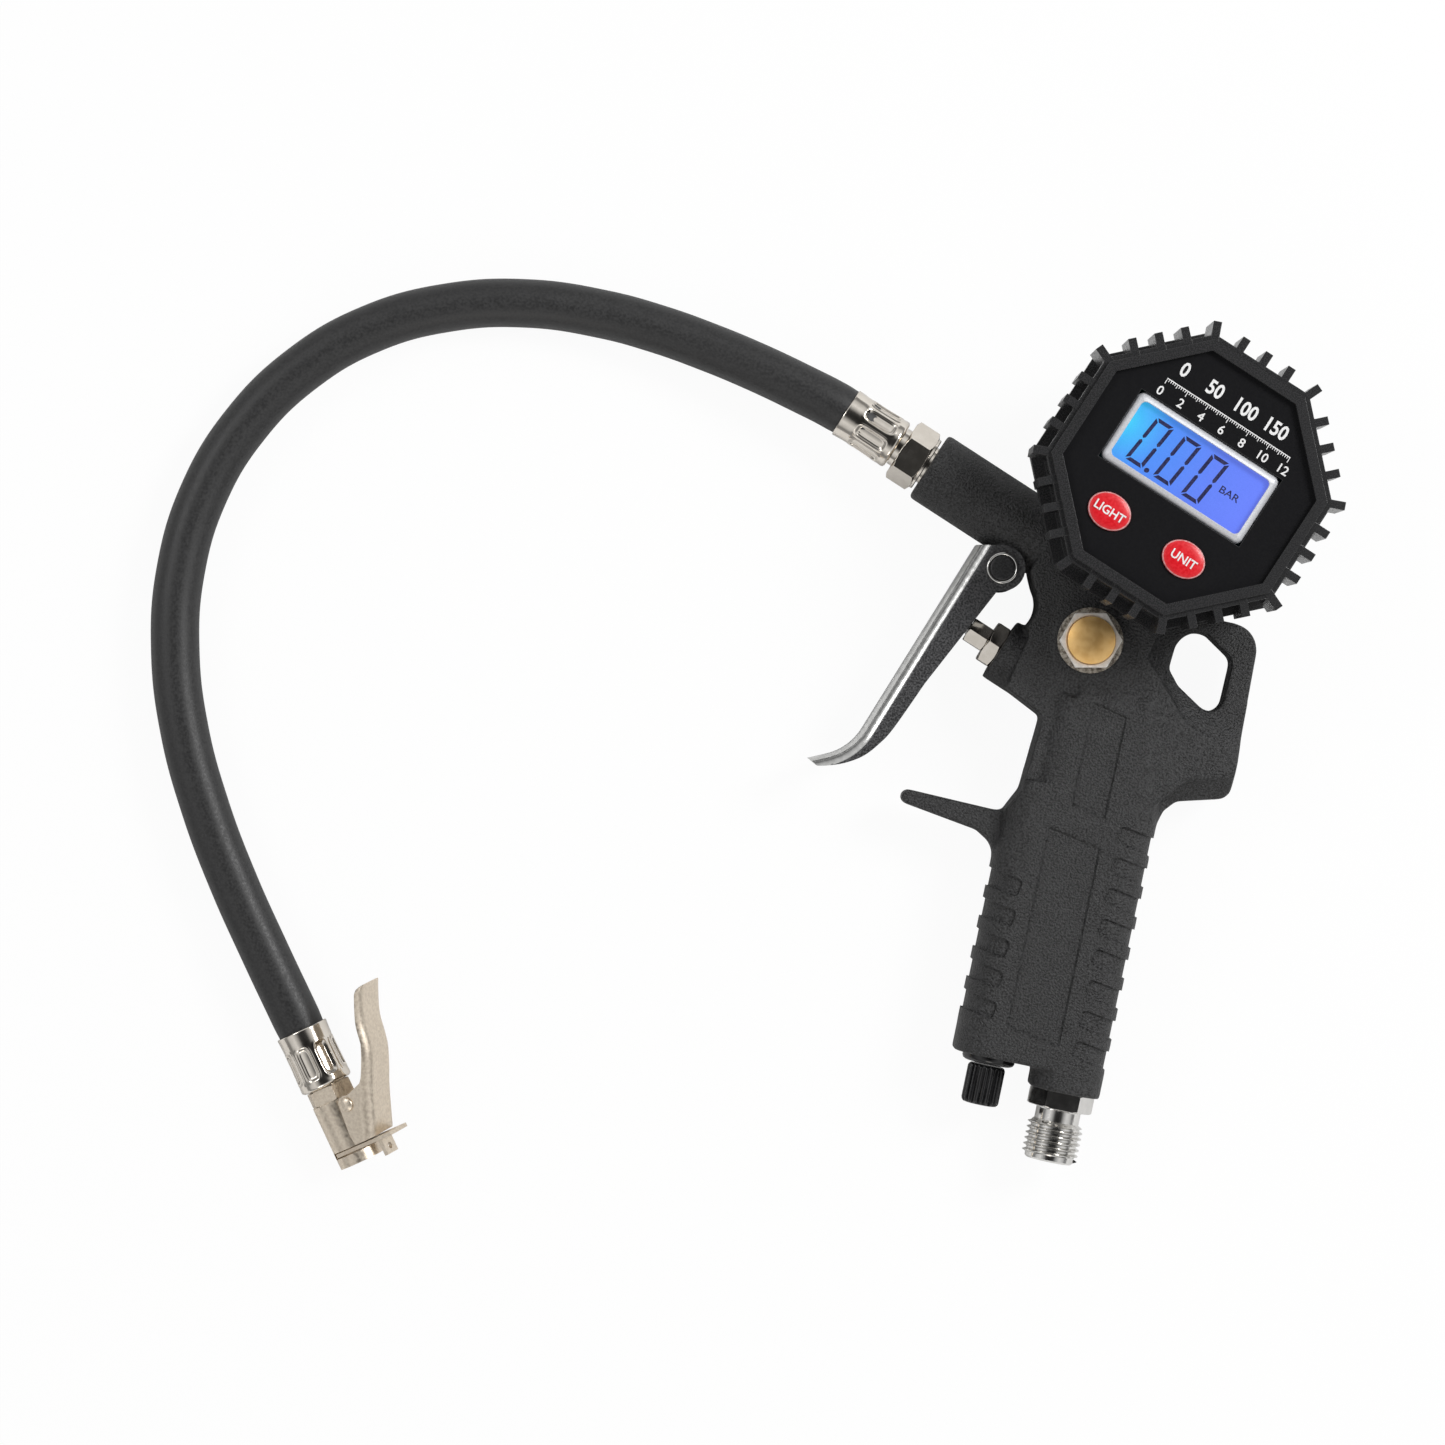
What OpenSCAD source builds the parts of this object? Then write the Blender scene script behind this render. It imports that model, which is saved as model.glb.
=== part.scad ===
// Tyre inflator pistol with a digital gauge, a short hose and a clip-on chuck.
// Millimetres. The origin is the mouth of the air inlet. Y runs up the handle, X points
// from the trigger to the back of the handle, and Z points out of the gauge's face.
// The head frame (u, v) starts at the barrel's front: u runs back along the barrel.

/* [Air inlet] */
// Major diameter of the inlet's male thread
inlet_thread_d = 13.7; // [13.0:0.1:13.8]
// Length of the inlet's thread
inlet_thread_l = 9.2; // [8:0.2:12]
// Diameter of the plain neck between the thread and the hexagon
inlet_neck_d = 11; // [10:0.2:12]
// Length of the plain neck
inlet_neck_l = 3.8; // [2:0.2:6]
// Width of the inlet's hexagon across its flats
inlet_hex_af = 14; // [13.8:0.2:16]
// Height of the inlet's hexagon
inlet_hex_h = 4.4; // [3.5:0.1:6]
// Diameter of the air way through the inlet
inlet_bore_d = 7.4; // [6:0.2:8.4]
// Depth of the threaded socket in the foot
inlet_socket_l = 12; // [10:0.5:16]
// Diameter of the threaded socket in the foot
inlet_socket_d = 13.2; // [12.6:0.1:13.6]

/* [Handle] */
// Width of the handle from the finger side to the palm side
handle_w = 37.4; // [35:0.2:42]
// Thickness of the handle
handle_t = 23; // [22:0.5:26]
// Corner radius of the handle's section
handle_r = 7.5; // [4:0.5:9]
// Distance from the inlet's axis to the palm side
palm_x = 8.8; // [8.6:0.1:10]
// Width of the foot around the inlet
foot_w = 17.5; // [17:0.1:19]
// Height of the foot below the knob's seat
foot_h = 4.8; // [3:0.2:8]
// Step back of the finger side above the spur
waist = 4.5; // [3:0.25:5]
// Depth of the side panels
panel_depth = 0.5; // [0.3:0.1:0.8]
// Depth of the grooves
groove_depth = 0.4; // [0.2:0.1:0.8]
// Slope of the grooves down towards the palm
groove_slope = 10; // [0:1:15]
// Distance between two grooves
groove_pitch = 7.6; // [7:0.1:8]
// Height of one groove
groove_h = 4.5; // [3:0.1:5]
// Reach of a finger groove in from the edge of the handle
groove_reach = 7.8; // [6:0.1:9]
// Reach of a palm groove in from the edge of the handle
palm_groove_reach = 9.4; // [6:0.1:10]

/* [Spur] */
// Height of the spur's tip above the handle's foot
spur_rise = 62.9; // [58:0.5:66]
// Reach of the spur in front of the finger side
spur_reach = 25.1; // [20:0.5:28]
// Radius of the spur's tip
spur_tip_r = 1.8; // [1.4:0.1:2.4]
// Thickness of the spur
spur_t = 9; // [7:0.5:12]

/* [Head] */
// Angle between the barrel and the handle's cross line
head_tilt = 21.2; // [19:0.2:24]
// Distance of the barrel's front from the inlet's axis
barrel_reach = 62.5; // [60:0.5:66]
// Height of the barrel's front above the handle's foot
barrel_rise = 142.9; // [138:0.5:150]
// Diameter of the barrel
barrel_d = 18; // [17.6:0.2:19]
// Thickness of the head
head_t = 19; // [18:0.5:20]
// Diameter of the air ways in the head
airway_d = 4; // [3:0.5:5]
// Depth of the threaded socket in the barrel
barrel_socket_l = 10; // [8:0.5:14]
// Diameter of the threaded socket in the barrel
barrel_socket_d = 11.3; // [10.5:0.1:12]

/* [Hanging loop] */
// Reach of the loop behind the palm side
loop_reach = 16; // [15:0.2:20]
// Thickness of the loop
loop_t = 11; // [8:0.5:14]
// Height of the loop's opening
loop_open_h = 17.8; // [14:0.2:19]

/* [Trigger] */
// Distance of the trigger's pivot behind the barrel's front
pivot_u = 27.6; // [27:0.1:28.4]
// Drop of the trigger's pivot below the barrel's axis
pivot_drop = 11.6; // [11.5:0.1:12.4]
// Radius of the trigger's eye
eye_r = 5.6; // [5:0.1:5.8]
// Diameter of the pivot pin
pivot_d = 6.2; // [4:0.2:6.6]
// Width inside the trigger's channel
channel_w = 14; // [13.6:0.1:15]
// Sheet thickness of the trigger
trigger_sheet = 1.2; // [1:0.1:1.5]

/* [Main valve] */
// Distance of the valve boss's face behind the barrel's front
boss_u = 38; // [37.6:0.1:39]
// Drop of the valve's axis below the barrel's axis
valve_drop = 28.1; // [27.6:0.1:29]
// Diameter of the valve boss
boss_d = 16; // [15.4:0.2:17]
// Width of the gland's hexagon across its flats
gland_af = 10.4; // [9.6:0.1:11]
// Height of the gland's hexagon
gland_h = 3.7; // [3:0.1:4]
// Width of the guide's hexagon across its flats
guide_af = 6; // [5.6:0.1:7]
// Height of the guide's hexagon
guide_h = 5.2; // [4:0.1:5.4]
// Diameter of the plunger
plunger_d = 3; // [2.4:0.1:3.2]
// Diameter of the valve's chamber
chamber_d = 8.8; // [8.2:0.1:9.4]
// Free play between the trigger and the plunger
trigger_play = 0.3; // [0.25:0.05:0.6]

/* [Bleed valve] */
// Distance of the bleed valve behind the barrel's front
bleed_u = 55; // [54:0.2:56]
// Drop of the bleed valve below the barrel's axis
bleed_drop = 14.9; // [14.6:0.1:15.4]
// Width of the collar's hexagon across its flats
collar_af = 13.2; // [13:0.1:14]
// Height of the collar's hexagon
collar_h = 3.5; // [3:0.1:4.5]
// Turn of the collar's hexagon about its own axis
collar_turn = 33; // [0:1:60]
// Diameter of the round flange at the collar's foot
collar_flange_d = 16; // [15.6:0.1:17]
// Thickness of the round flange at the collar's foot
collar_flange_h = 1.2; // [0.8:0.1:1.6]
// Diameter of the bleed button
bleed_d = 11.5; // [10:0.1:11.8]
// Travel of the bleed button
bleed_travel = 1.5; // [1:0.1:1.6]

/* [Flow knob] */
// Distance of the knob's axis from the inlet's axis
knob_x = 19.4; // [19:0.1:20]
// Diameter of the knob
knob_d = 9.3; // [8.6:0.1:10]
// Length of the knob
knob_l = 9.8; // [8:0.2:12]
// Depth of the knob's flutes
flute_depth = 0.35; // [0.2:0.05:0.5]
// Diameter of the knob's flange
flange_d = 13; // [12.6:0.1:13.6]
// Diameter of the needle
needle_d = 4; // [3.6:0.1:4.2]

/* [Gauge] */
// Distance of the gauge's centre behind the barrel's front
gauge_u = 52.1; // [51:0.1:54]
// Rise of the gauge's centre above the barrel's axis
gauge_rise = 28.7; // [28:0.1:32]
// Gap between the head and the rubber boot
boot_gap = 1.5; // [1:0.1:3]
// Depth of the boot from back to rim
boot_h = 29.6; // [29:0.1:32]
// Width of the gauge's case across its flats
case_af = 59; // [57:0.5:60]
// Reach of the boot's lip over the edge of the face
lip_in = 1.3; // [1:0.1:2]
// Wall of the boot's rim outside the case
rim_wall = 1.2; // [1.1:0.1:1.7]
// Stand of the boot's back edge outside the case
skirt_out = 4.5; // [4:0.1:5]
// Wall of the gauge's case
case_wall = 1.8; // [1.4:0.1:2]
// Stand of the boot's lugs in front of its rim
lug_out = 4.4; // [3:0.1:5]
// Width of one lug
lug_w = 2; // [1.6:0.1:2.6]
// Length of one lug, from near the rim towards the back
lug_l = 19; // [14:0.5:22]
// Width of the display frame
frame_w = 39.6; // [39:0.1:41]
// Height of the display frame
frame_h = 18.8; // [18:0.1:19.6]
// Band width of the display frame
frame_band = 1.8; // [1.4:0.1:2]
// Width of an oval button
button_w = 10.9; // [10:0.1:11.4]
// Height of an oval button
button_h = 8.8; // [8:0.1:9.2]
// Stand of the buttons in front of the face
button_out = 1.2; // [0.8:0.1:1.6]
// Travel of the buttons
button_travel = 0.5; // [0.3:0.1:0.6]
// Diameter of the nipple's threads
nipple_d = 9.8; // [9:0.1:10]

/* [Hose and its ends] */
// Outside diameter of the hose
hose_d = 12; // [11:0.1:12.4]
// Inside diameter of the hose
hose_bore_d = 8.4; // [8.2:0.1:9]
// Width of the front fitting's hexagon across its flats
front_hex_af = 14; // [13:0.1:15]
// Height of the front fitting's hexagon
front_hex_h = 6.6; // [5:0.1:7]
// Length of the crimped ferrules
ferrule_l = 15; // [14:0.1:15.4]
// Outside diameter of the front ferrule
front_ferrule_d = 12.8; // [12.8:0.1:13.4]
// Outside diameter of the chuck's ferrule
chuck_ferrule_d = 13.2; // [12.8:0.1:13.4]

/* [Chuck] */
// Diameter of the chuck's body
chuck_d = 11.4; // [11:0.1:12.4]
// Length of the chuck's body
chuck_l = 16.4; // [16:0.1:18]
// Height of the chuck's hexagon neck
neck_h = 3.8; // [3:0.1:4.4]
// Width of the neck's hexagon across its flats
neck_af = 10.4; // [9.6:0.1:10.8]
// Diameter of the mouth that takes a tyre valve
mouth_d = 8.2; // [8:0.05:8.4]
// Depth of the mouth down to its seal
mouth_l = 7.6; // [7:0.1:8.4]
// Height of the slot that the jaw plate slides in
slot_h = 1.6; // [1.4:0.05:2]
// Sheet thickness of the jaw plate
jaw_t = 1; // [0.8:0.05:1.1]
// Distance of the lever's rivet from the chuck's axis
rivet_s = 6.7; // [6.4:0.1:7]
// Diameter of the rivet
rivet_d = 2.4; // [2:0.1:2.6]
// Sheet thickness of the chuck's lever
lever_sheet = 0.9; // [0.8:0.05:1]
// Width inside the chuck lever's cheeks
cheek_w = 10.8; // [10.6:0.1:11.4]

/* [Hidden] */

$fn = 64;
// Radial clearance of a turning or sliding fit
slip = 0.05;
// Radial clearance of a fixed fit
seat = 0.02;
// Gap between separate curved parts
gap = 0.3;
// Overrun of a cut past the face that it opens
over = 1;
// Steps in a quarter of a drawn arc
arc_steps = 6;

foot_y = inlet_thread_l + inlet_neck_l + inlet_hex_h;
finger_x = palm_x - handle_w;
head_x = -barrel_reach;
head_y = foot_y + barrel_rise;
handle_top_y = head_y - 48;
waist_y = foot_y + spur_rise + 1.5;

// A point of the head frame as [x, y]
function head_point(u, v) = [
    head_x + u * cos(head_tilt) + v * sin(head_tilt),
    head_y - u * sin(head_tilt) + v * cos(head_tilt)
];
// Points on a circular arc from angle a0 to angle a1
function arc(x, y, r, a0, a1, steps = arc_steps) = [
    for (i = [0 : steps]) [
        x + r * cos(a0 + (a1 - a0) * i / steps),
        y + r * sin(a0 + (a1 - a0) * i / steps)
    ]
];
function rounded_box(w, h, r) = concat(
    arc(w / 2 - r, h / 2 - r, r, 0, 90),
    arc(-w / 2 + r, h / 2 - r, r, 90, 180),
    arc(-w / 2 + r, -h / 2 + r, r, 180, 270),
    arc(w / 2 - r, -h / 2 + r, r, 270, 360)
);
function oval(w, h, steps = 40) = [
    for (i = [0 : steps - 1]) [w / 2 * cos(360 * i / steps), h / 2 * sin(360 * i / steps)]
];
// Radius of the circle through the corners of a regular shape
function corner_r(across_flats, sides) = across_flats / 2 / cos(180 / sides);

module in_head(u = 0, v = 0, z = 0) {
    translate([head_x, head_y, 0]) rotate([0, 0, -head_tilt]) translate([u, v, z]) children();
}
// Turns local Z onto the local X axis
module along_x() {
    rotate([0, 90, 0]) children();
}
// Turns local Z onto the part's Y axis
module along_y() {
    rotate([-90, 0, 0]) children();
}
// Centred slab of a flat outline
module slab(t) {
    translate([0, 0, -t / 2]) linear_extrude(t) children();
}
module hexagon(af, h) {
    cylinder(h = h, r = corner_r(af, 6), $fn = 6);
}
module octagon(af, h) {
    rotate([0, 0, 22.5]) cylinder(h = h, r = corner_r(af, 8), $fn = 8);
}
module ring(outer_d, inner_d, h) {
    difference() {
        cylinder(h = h, d = outer_d);
        translate([0, 0, -over]) cylinder(h = h + 2 * over, d = inner_d);
    }
}
// Coil spring drawn as separate closed turns along Z
module spring_turns(mean_d, wire_d, length, turns) {
    end_z = wire_d / 2 + 0.05;
    for (i = [0 : turns - 1])
        translate([0, 0, end_z + (length - 2 * end_z) * i / (turns - 1)])
            rotate_extrude() translate([mean_d / 2, 0]) circle(d = wire_d, $fn = 36);
}

// ---------------------------------------------------------------- body
grip_top_y = waist_y;
foot_x = palm_x - foot_w;
knob_seat_y = foot_y + foot_h;
head_half = head_t / 2;
bleed_boss_z = head_half + 0.5;
barrel_nose = 0.9;
pocket_r = eye_r + 0.6;
lug_half = channel_w / 2 - 0.2;
valve_inner_u = boss_u + 9;
seat_u = valve_inner_u + 2.6;
seat_t = 2.4;
chamber_end_u = boss_u + 32;
inlet_meets_u = (barrel_reach - valve_drop * sin(head_tilt)) / cos(head_tilt);
link_u = boss_u + 10.5;
shank_d = 10;
gland_shank_l = 8.6;
lower_pass_y = foot_y + 24;
upper_pass_y = foot_y + 52;
needle_seat_y = foot_y + 30;

function from_palm(points) = [for (p = points) [palm_x + p[0], head_y + p[1]]];
// Outline of the hanging loop, from the palm side outwards, its heights from the head
loop_outline = from_palm(concat(
    [[-12, -80], [-0.1, -79], [0, -74.2], [1, -70.6], [3.6, -67.8]],
    arc(loop_reach - 3.3, -62, 3.3, -80, -5, 4),
    [[loop_reach, -52], [loop_reach - 0.4, -36], [loop_reach - 0.6, -29]],
    arc(loop_reach - 7.2, -28.9, 6.6, 0, 90, 6),
    [[0, -22.3], [-12, -22.3]]
));
// Outline of the loop's opening
loop_hole = from_palm(concat(
    arc(loop_reach - 9.6, -41.2, 3.4, -120, -10, 5),
    arc(loop_reach - 8.8, -32.6, 2.8, 0, 65, 4),
    arc(1.4, -44.4 + loop_open_h - 5.6, 5.9, 75, 165, 5),
    [[-4.8, -36.4], [-1.8, -40]]
));
spur_tip_x = finger_x - spur_reach + spur_tip_r;
spur_outline = concat(
    [[finger_x + 8, spur_rise + 12], [finger_x + waist + 0.1, spur_rise + 8.4],
        [finger_x + 2, spur_rise + 5.2], [finger_x, spur_rise + 1.6], [finger_x - 1.5, spur_rise + 1.2]],
    arc(spur_tip_x, spur_rise, spur_tip_r, 88, 255, 8),
    [[finger_x - 5.1, spur_rise - 4.6]],
    arc(finger_x - 5.6, spur_rise - 10.8, 5.6, 70, 5, 4),
    [[finger_x + 8, spur_rise - 12]]
);
// Outline of the head in its own frame: barrel root, valve boss, handle root, gauge arm
head_outline = concat(
    [[33.5, -8.5]],
    arc(pivot_u + 5.8, -pivot_drop - 6.4, 7.2, 62, -18, 6),
    [[boss_u + 4, -valve_drop + 6], [boss_u + 6, -valve_drop - boss_d / 2 + 0.5],
        [boss_u + 17.4, -valve_drop - boss_d / 2 - 0.4], [62, -58], [92, -46], [87.4, -28.2],
        [84.5, -18.4], [69.1, -10.6], [gauge_u + 14, gauge_rise - 12], [gauge_u + 12, gauge_rise]],
    arc(gauge_u, gauge_rise, 12, 0, 180, 12),
    [[gauge_u - 12, 4], [33.5, 4]]
);

module handle_section(width) {
    polygon(rounded_box(width, handle_t, handle_r));
}
module foot_section() {
    polygon(rounded_box(foot_w, handle_t, handle_r));
}
module upright(x_centre, y0, y1) {
    translate([x_centre, y0, 0]) along_y() linear_extrude(y1 - y0) children();
}
// Slope from the handle's flat faces down to the head's
module neck_ramp() {
    ramp_l = 5;
    ramp_w = handle_w - waist - 2 * handle_r;
    translate([palm_x - handle_r - ramp_w, 0, 0]) rotate([90, 0, 90])
        linear_extrude(ramp_w) polygon([
            [handle_top_y - 1, handle_t / 2], [handle_top_y, handle_t / 2],
            [handle_top_y + ramp_l, head_half], [handle_top_y + ramp_l, -head_half],
            [handle_top_y, -handle_t / 2], [handle_top_y - 1, -handle_t / 2]
        ]);
}
// Thick web between the neck and the loop, sloped off at the opening and at the lower edge
module loop_web() {
    web_half = head_half - 0.3;
    foot_half = loop_t / 2 - 0.2;
    slope_l = 6;
    web_l = 40;
    ridge_turn = 24;
    edge_turn = 14.5;
    module wedge() {
        rotate([90, 0, 90]) translate([0, 0, -web_l / 2]) linear_extrude(web_l) polygon([
            [0, foot_half], [slope_l, web_half], [web_l, web_half],
            [web_l, -web_half], [slope_l, -web_half], [0, -foot_half]
        ]);
    }
    intersection() {
        slab(head_t) polygon(loop_outline);
        translate([palm_x + 0.8, head_y - 48.3, 0]) rotate([0, 0, 180 - ridge_turn])
            translate([0, -slope_l, 0]) wedge();
        translate([palm_x + 3.6, head_y - 67.8, 0]) rotate([0, 0, edge_turn]) wedge();
    }
}
module barrel() {
    in_head(-barrel_nose) along_x() cylinder(h = 46 + barrel_nose, d = barrel_d);
}
// Slope from the wide grip up to the narrower neck, on the finger side
module waist_slope() {
    slope_l = 8.7;
    inner_x = palm_x - handle_r - 1;
    intersection() {
        upright(palm_x - handle_w / 2, grip_top_y - 4, grip_top_y + slope_l) handle_section(handle_w);
        slab(handle_t + 2 * over) polygon([
            [finger_x - over, grip_top_y - 4], [finger_x - over, grip_top_y], [finger_x, grip_top_y],
            [finger_x + waist + 0.2, grip_top_y + slope_l], [inner_x, grip_top_y + slope_l],
            [inner_x, grip_top_y - 4]
        ]);
    }
}
module body_solid() {
    upright(palm_x - foot_w / 2, foot_y, knob_seat_y + 8) foot_section();
    upright(palm_x - handle_w / 2, knob_seat_y, grip_top_y) handle_section(handle_w);
    upright(palm_x - (handle_w - waist) / 2, grip_top_y - 8, handle_top_y) handle_section(handle_w - waist);
    neck_ramp();
    waist_slope();
    translate([0, foot_y, 0]) slab(spur_t) polygon(spur_outline);
    slab(loop_t) polygon(loop_outline);
    loop_web();
    in_head() slab(head_t) polygon(head_outline);
    barrel();
    in_head(boss_u, -valve_drop) along_x() cylinder(h = 22, d = boss_d);
    in_head(pivot_u, -pivot_drop, -lug_half) cylinder(h = 2 * lug_half, r = eye_r - 0.5);
    in_head(bleed_u, -bleed_drop) cylinder(h = bleed_boss_z, r = collar_flange_d / 2 + 0.8);
}
module side_panels() {
    panel_z = handle_t / 2 - panel_depth;
    for (side = [-1, 1]) {
        translate([0, 0, side * (panel_z + over) - over])
            linear_extrude(2 * over) {
                translate([0, foot_y]) polygon([
                    [palm_x - 26.3, 13.2], [palm_x - 12.7, 10.6],
                    [palm_x - 12.6, 60.3], [palm_x - 26.2, 63]
                ]);
                translate([0, head_y]) polygon([
                    [palm_x - 21.9, -73.8], [palm_x - 13, -75.7],
                    [palm_x - 12.8, -50.1], [palm_x - 21.9, -48.1]
                ]);
            }
    }
}
module groove(x_edge, y_centre, reach) {
    translate([x_edge, y_centre, 0]) rotate([0, 0, -groove_slope])
        slab(2 * handle_t) polygon(rounded_box(2 * reach, groove_h, 1.2));
}
// Grooves that wrap round both edges of the handle at an even depth
module finger_grooves() {
    difference() {
        union() {
            for (i = [0 : 4]) groove(finger_x, foot_y + 17.5 + groove_pitch * i, groove_reach);
            for (i = [0 : 7]) groove(palm_x, foot_y + 9.7 + groove_pitch * i, palm_groove_reach);
        }
        upright(palm_x - handle_w / 2, foot_y, head_y) polygon(rounded_box(
            handle_w - 2 * groove_depth, handle_t - 2 * groove_depth, handle_r - groove_depth));
    }
}
module air_ways() {
    // inlet socket and the two halves of the way up the handle
    translate([0, foot_y - over, 0]) along_y() cylinder(h = inlet_socket_l + over, d = inlet_socket_d);
    translate([0, foot_y, 0]) along_y() cylinder(h = lower_pass_y - foot_y + airway_d / 2, d = 7);
    translate([0, upper_pass_y - airway_d / 2, 0]) along_y()
        cylinder(h = head_y - upper_pass_y - inlet_meets_u * sin(head_tilt)
            - valve_drop * cos(head_tilt), d = 7);
    // flow control: a way across below the needle's seat, and one back above it
    translate([-knob_x, lower_pass_y, 0]) along_x() cylinder(h = knob_x, d = airway_d);
    translate([-knob_x, upper_pass_y, 0]) along_x() cylinder(h = knob_x, d = airway_d);
    translate([-knob_x, knob_seat_y - over, 0]) along_y()
        cylinder(h = 11.4 + over, d = shank_d + 2 * seat);
    translate([-knob_x, knob_seat_y, 0]) along_y()
        cylinder(h = needle_seat_y - knob_seat_y, d = needle_d + 1);
    translate([-knob_x, knob_seat_y, 0]) along_y() cylinder(h = upper_pass_y - knob_seat_y, d = 2.6);
    translate([-knob_x, needle_seat_y + 2, 0]) along_y()
        cylinder(h = upper_pass_y - needle_seat_y - 2 + airway_d / 2, d = airway_d);
    // main valve
    in_head(boss_u - over, -valve_drop) along_x()
        cylinder(h = valve_inner_u - boss_u + over, d = shank_d + 2 * seat);
    in_head(boss_u, -valve_drop) along_x() cylinder(h = chamber_end_u - boss_u, d = chamber_d);
    in_head(boss_u, -valve_drop) along_x() cylinder(h = inlet_meets_u - boss_u + 3.5, d = 6);
    in_head(link_u, -valve_drop) rotate([-90, 0, 0]) cylinder(h = valve_drop, d = airway_d);
    // barrel and gauge
    in_head(-barrel_nose - over) along_x()
        cylinder(h = barrel_socket_l + barrel_nose + over, d = barrel_socket_d);
    in_head() along_x() cylinder(h = gauge_u, d = 6);
    in_head(gauge_u) rotate([-90, 0, 0]) cylinder(h = gauge_rise, d = airway_d);
    in_head(gauge_u, gauge_rise) cylinder(h = head_half + over, d = nipple_d + 2 * seat);
    // bleed valve
    in_head(bleed_u, -bleed_drop, bleed_low_z)
        cylinder(h = bleed_boss_z - bleed_low_z + over, d = shank_d + 2 * seat);
    in_head(bleed_u, -bleed_drop, bleed_low_z - 5) cylinder(h = 6, d = 7.4);
    in_head(link_u, -bleed_drop, bleed_low_z - 2.4) along_x() cylinder(h = bleed_u - link_u, d = 2);
}
module trigger_pocket() {
    for (side = [0, 1]) mirror([0, 0, side])
        in_head(pivot_u, -pivot_drop, lug_half) cylinder(h = head_t, r = pocket_r);
    in_head(pivot_u, -pivot_drop, -head_t) cylinder(h = 2 * head_t, d = pivot_d + 2 * seat);
}
module body() {
    color([0.16, 0.16, 0.17])
    difference() {
        body_solid();
        slab(head_t + 2 * over) polygon(loop_hole);
        side_panels();
        finger_grooves();
        air_ways();
        trigger_pocket();
    }
}

// ---------------------------------------------------------------- air inlet
module inlet_fitting() {
    color("silver")
    difference() {
        along_y() union() {
            cylinder(h = inlet_thread_l, d = inlet_thread_d);
            cylinder(h = foot_y - inlet_hex_h + 0.01, d = inlet_neck_d);
            translate([0, 0, foot_y - inlet_hex_h]) hexagon(inlet_hex_af, inlet_hex_h);
            translate([0, 0, foot_y]) cylinder(h = inlet_socket_l - 1.5, d = inlet_socket_d - 2 * seat);
        }
        translate([0, -over, 0]) along_y() cylinder(h = foot_y + inlet_socket_l + over, d = inlet_bore_d);
    }
}
module inlet_screen() {
    screen_d = inlet_socket_d - 2 * seat;
    color("gainsboro")
    translate([0, foot_y + inlet_socket_l - 1.5, 0]) along_y()
        difference() {
            cylinder(h = 1.2, d = screen_d);
            for (i = [0 : 5])
                rotate([0, 0, 60 * i]) translate([2.1, 0, -over]) cylinder(h = 4, d = 1);
        }
}

// ---------------------------------------------------------------- flow knob
knob_end_y = knob_seat_y - 2.3 - knob_l;
flange_t = 1.9;
spindle_d = 6;
gland_l = 8.4;
module at_knob(y) {
    translate([-knob_x, y, 0]) along_y() children();
}
module knob_gland() {
    color([0.08, 0.08, 0.08])
    difference() {
        union() {
            at_knob(knob_seat_y - flange_t) cylinder(h = flange_t, d = flange_d);
            at_knob(knob_seat_y) cylinder(h = gland_l, d = shank_d);
        }
        at_knob(knob_seat_y - flange_t - over)
            cylinder(h = flange_t + gland_l + 2 * over, d = spindle_d + 2 * slip);
    }
}
module knob_seal() {
    color([0.1, 0.1, 0.1])
    at_knob(knob_seat_y + gland_l) ring(shank_d, needle_d + 2 * slip, 2.4);
}
module flow_knob() {
    flutes = 18;
    color([0.06, 0.06, 0.06])
    difference() {
        union() {
            at_knob(knob_end_y) cylinder(h = knob_l, d = knob_d);
            at_knob(knob_end_y + knob_l) cylinder(h = knob_seat_y + 6 - knob_end_y - knob_l, d = spindle_d);
        }
        for (i = [0 : flutes - 1])
            at_knob(knob_end_y + 1.2) rotate([0, 0, 360 * i / flutes])
                translate([knob_d / 2 + 0.4 - flute_depth, 0, 0]) cylinder(h = knob_l, r = 0.4, $fn = 16);
        at_knob(knob_seat_y + 1) cylinder(h = 8, d = 2.6);
    }
}
module needle() {
    tip_r = 0.8;
    color("silver")
    union() {
        at_knob(knob_seat_y + 1.2) cylinder(h = 6, d = 2.6 - 2 * slip);
        at_knob(knob_seat_y + 6.4)
            rotate_extrude() polygon([
                [0, 0], [needle_d / 2, 0], [needle_d / 2, needle_seat_y - knob_seat_y - 8.4],
                [tip_r, needle_seat_y - knob_seat_y - 5.6], [0, needle_seat_y - knob_seat_y - 5.6]
            ]);
    }
}

// ---------------------------------------------------------------- trigger
// The trigger's own frame has the pivot at its origin and runs down the straight spine
spine_tilt = 20.1;
trigger_out = channel_w + 2 * trigger_sheet;
spine_x = -8.3;
spine_top = 0.8;
spine_low = -51;
bend_r = 14;
bend = 45;
tip_l = 4.8;
module at_pivot() {
    in_head(pivot_u, -pivot_drop) rotate([0, 0, head_tilt - spine_tilt]) children();
}
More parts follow.
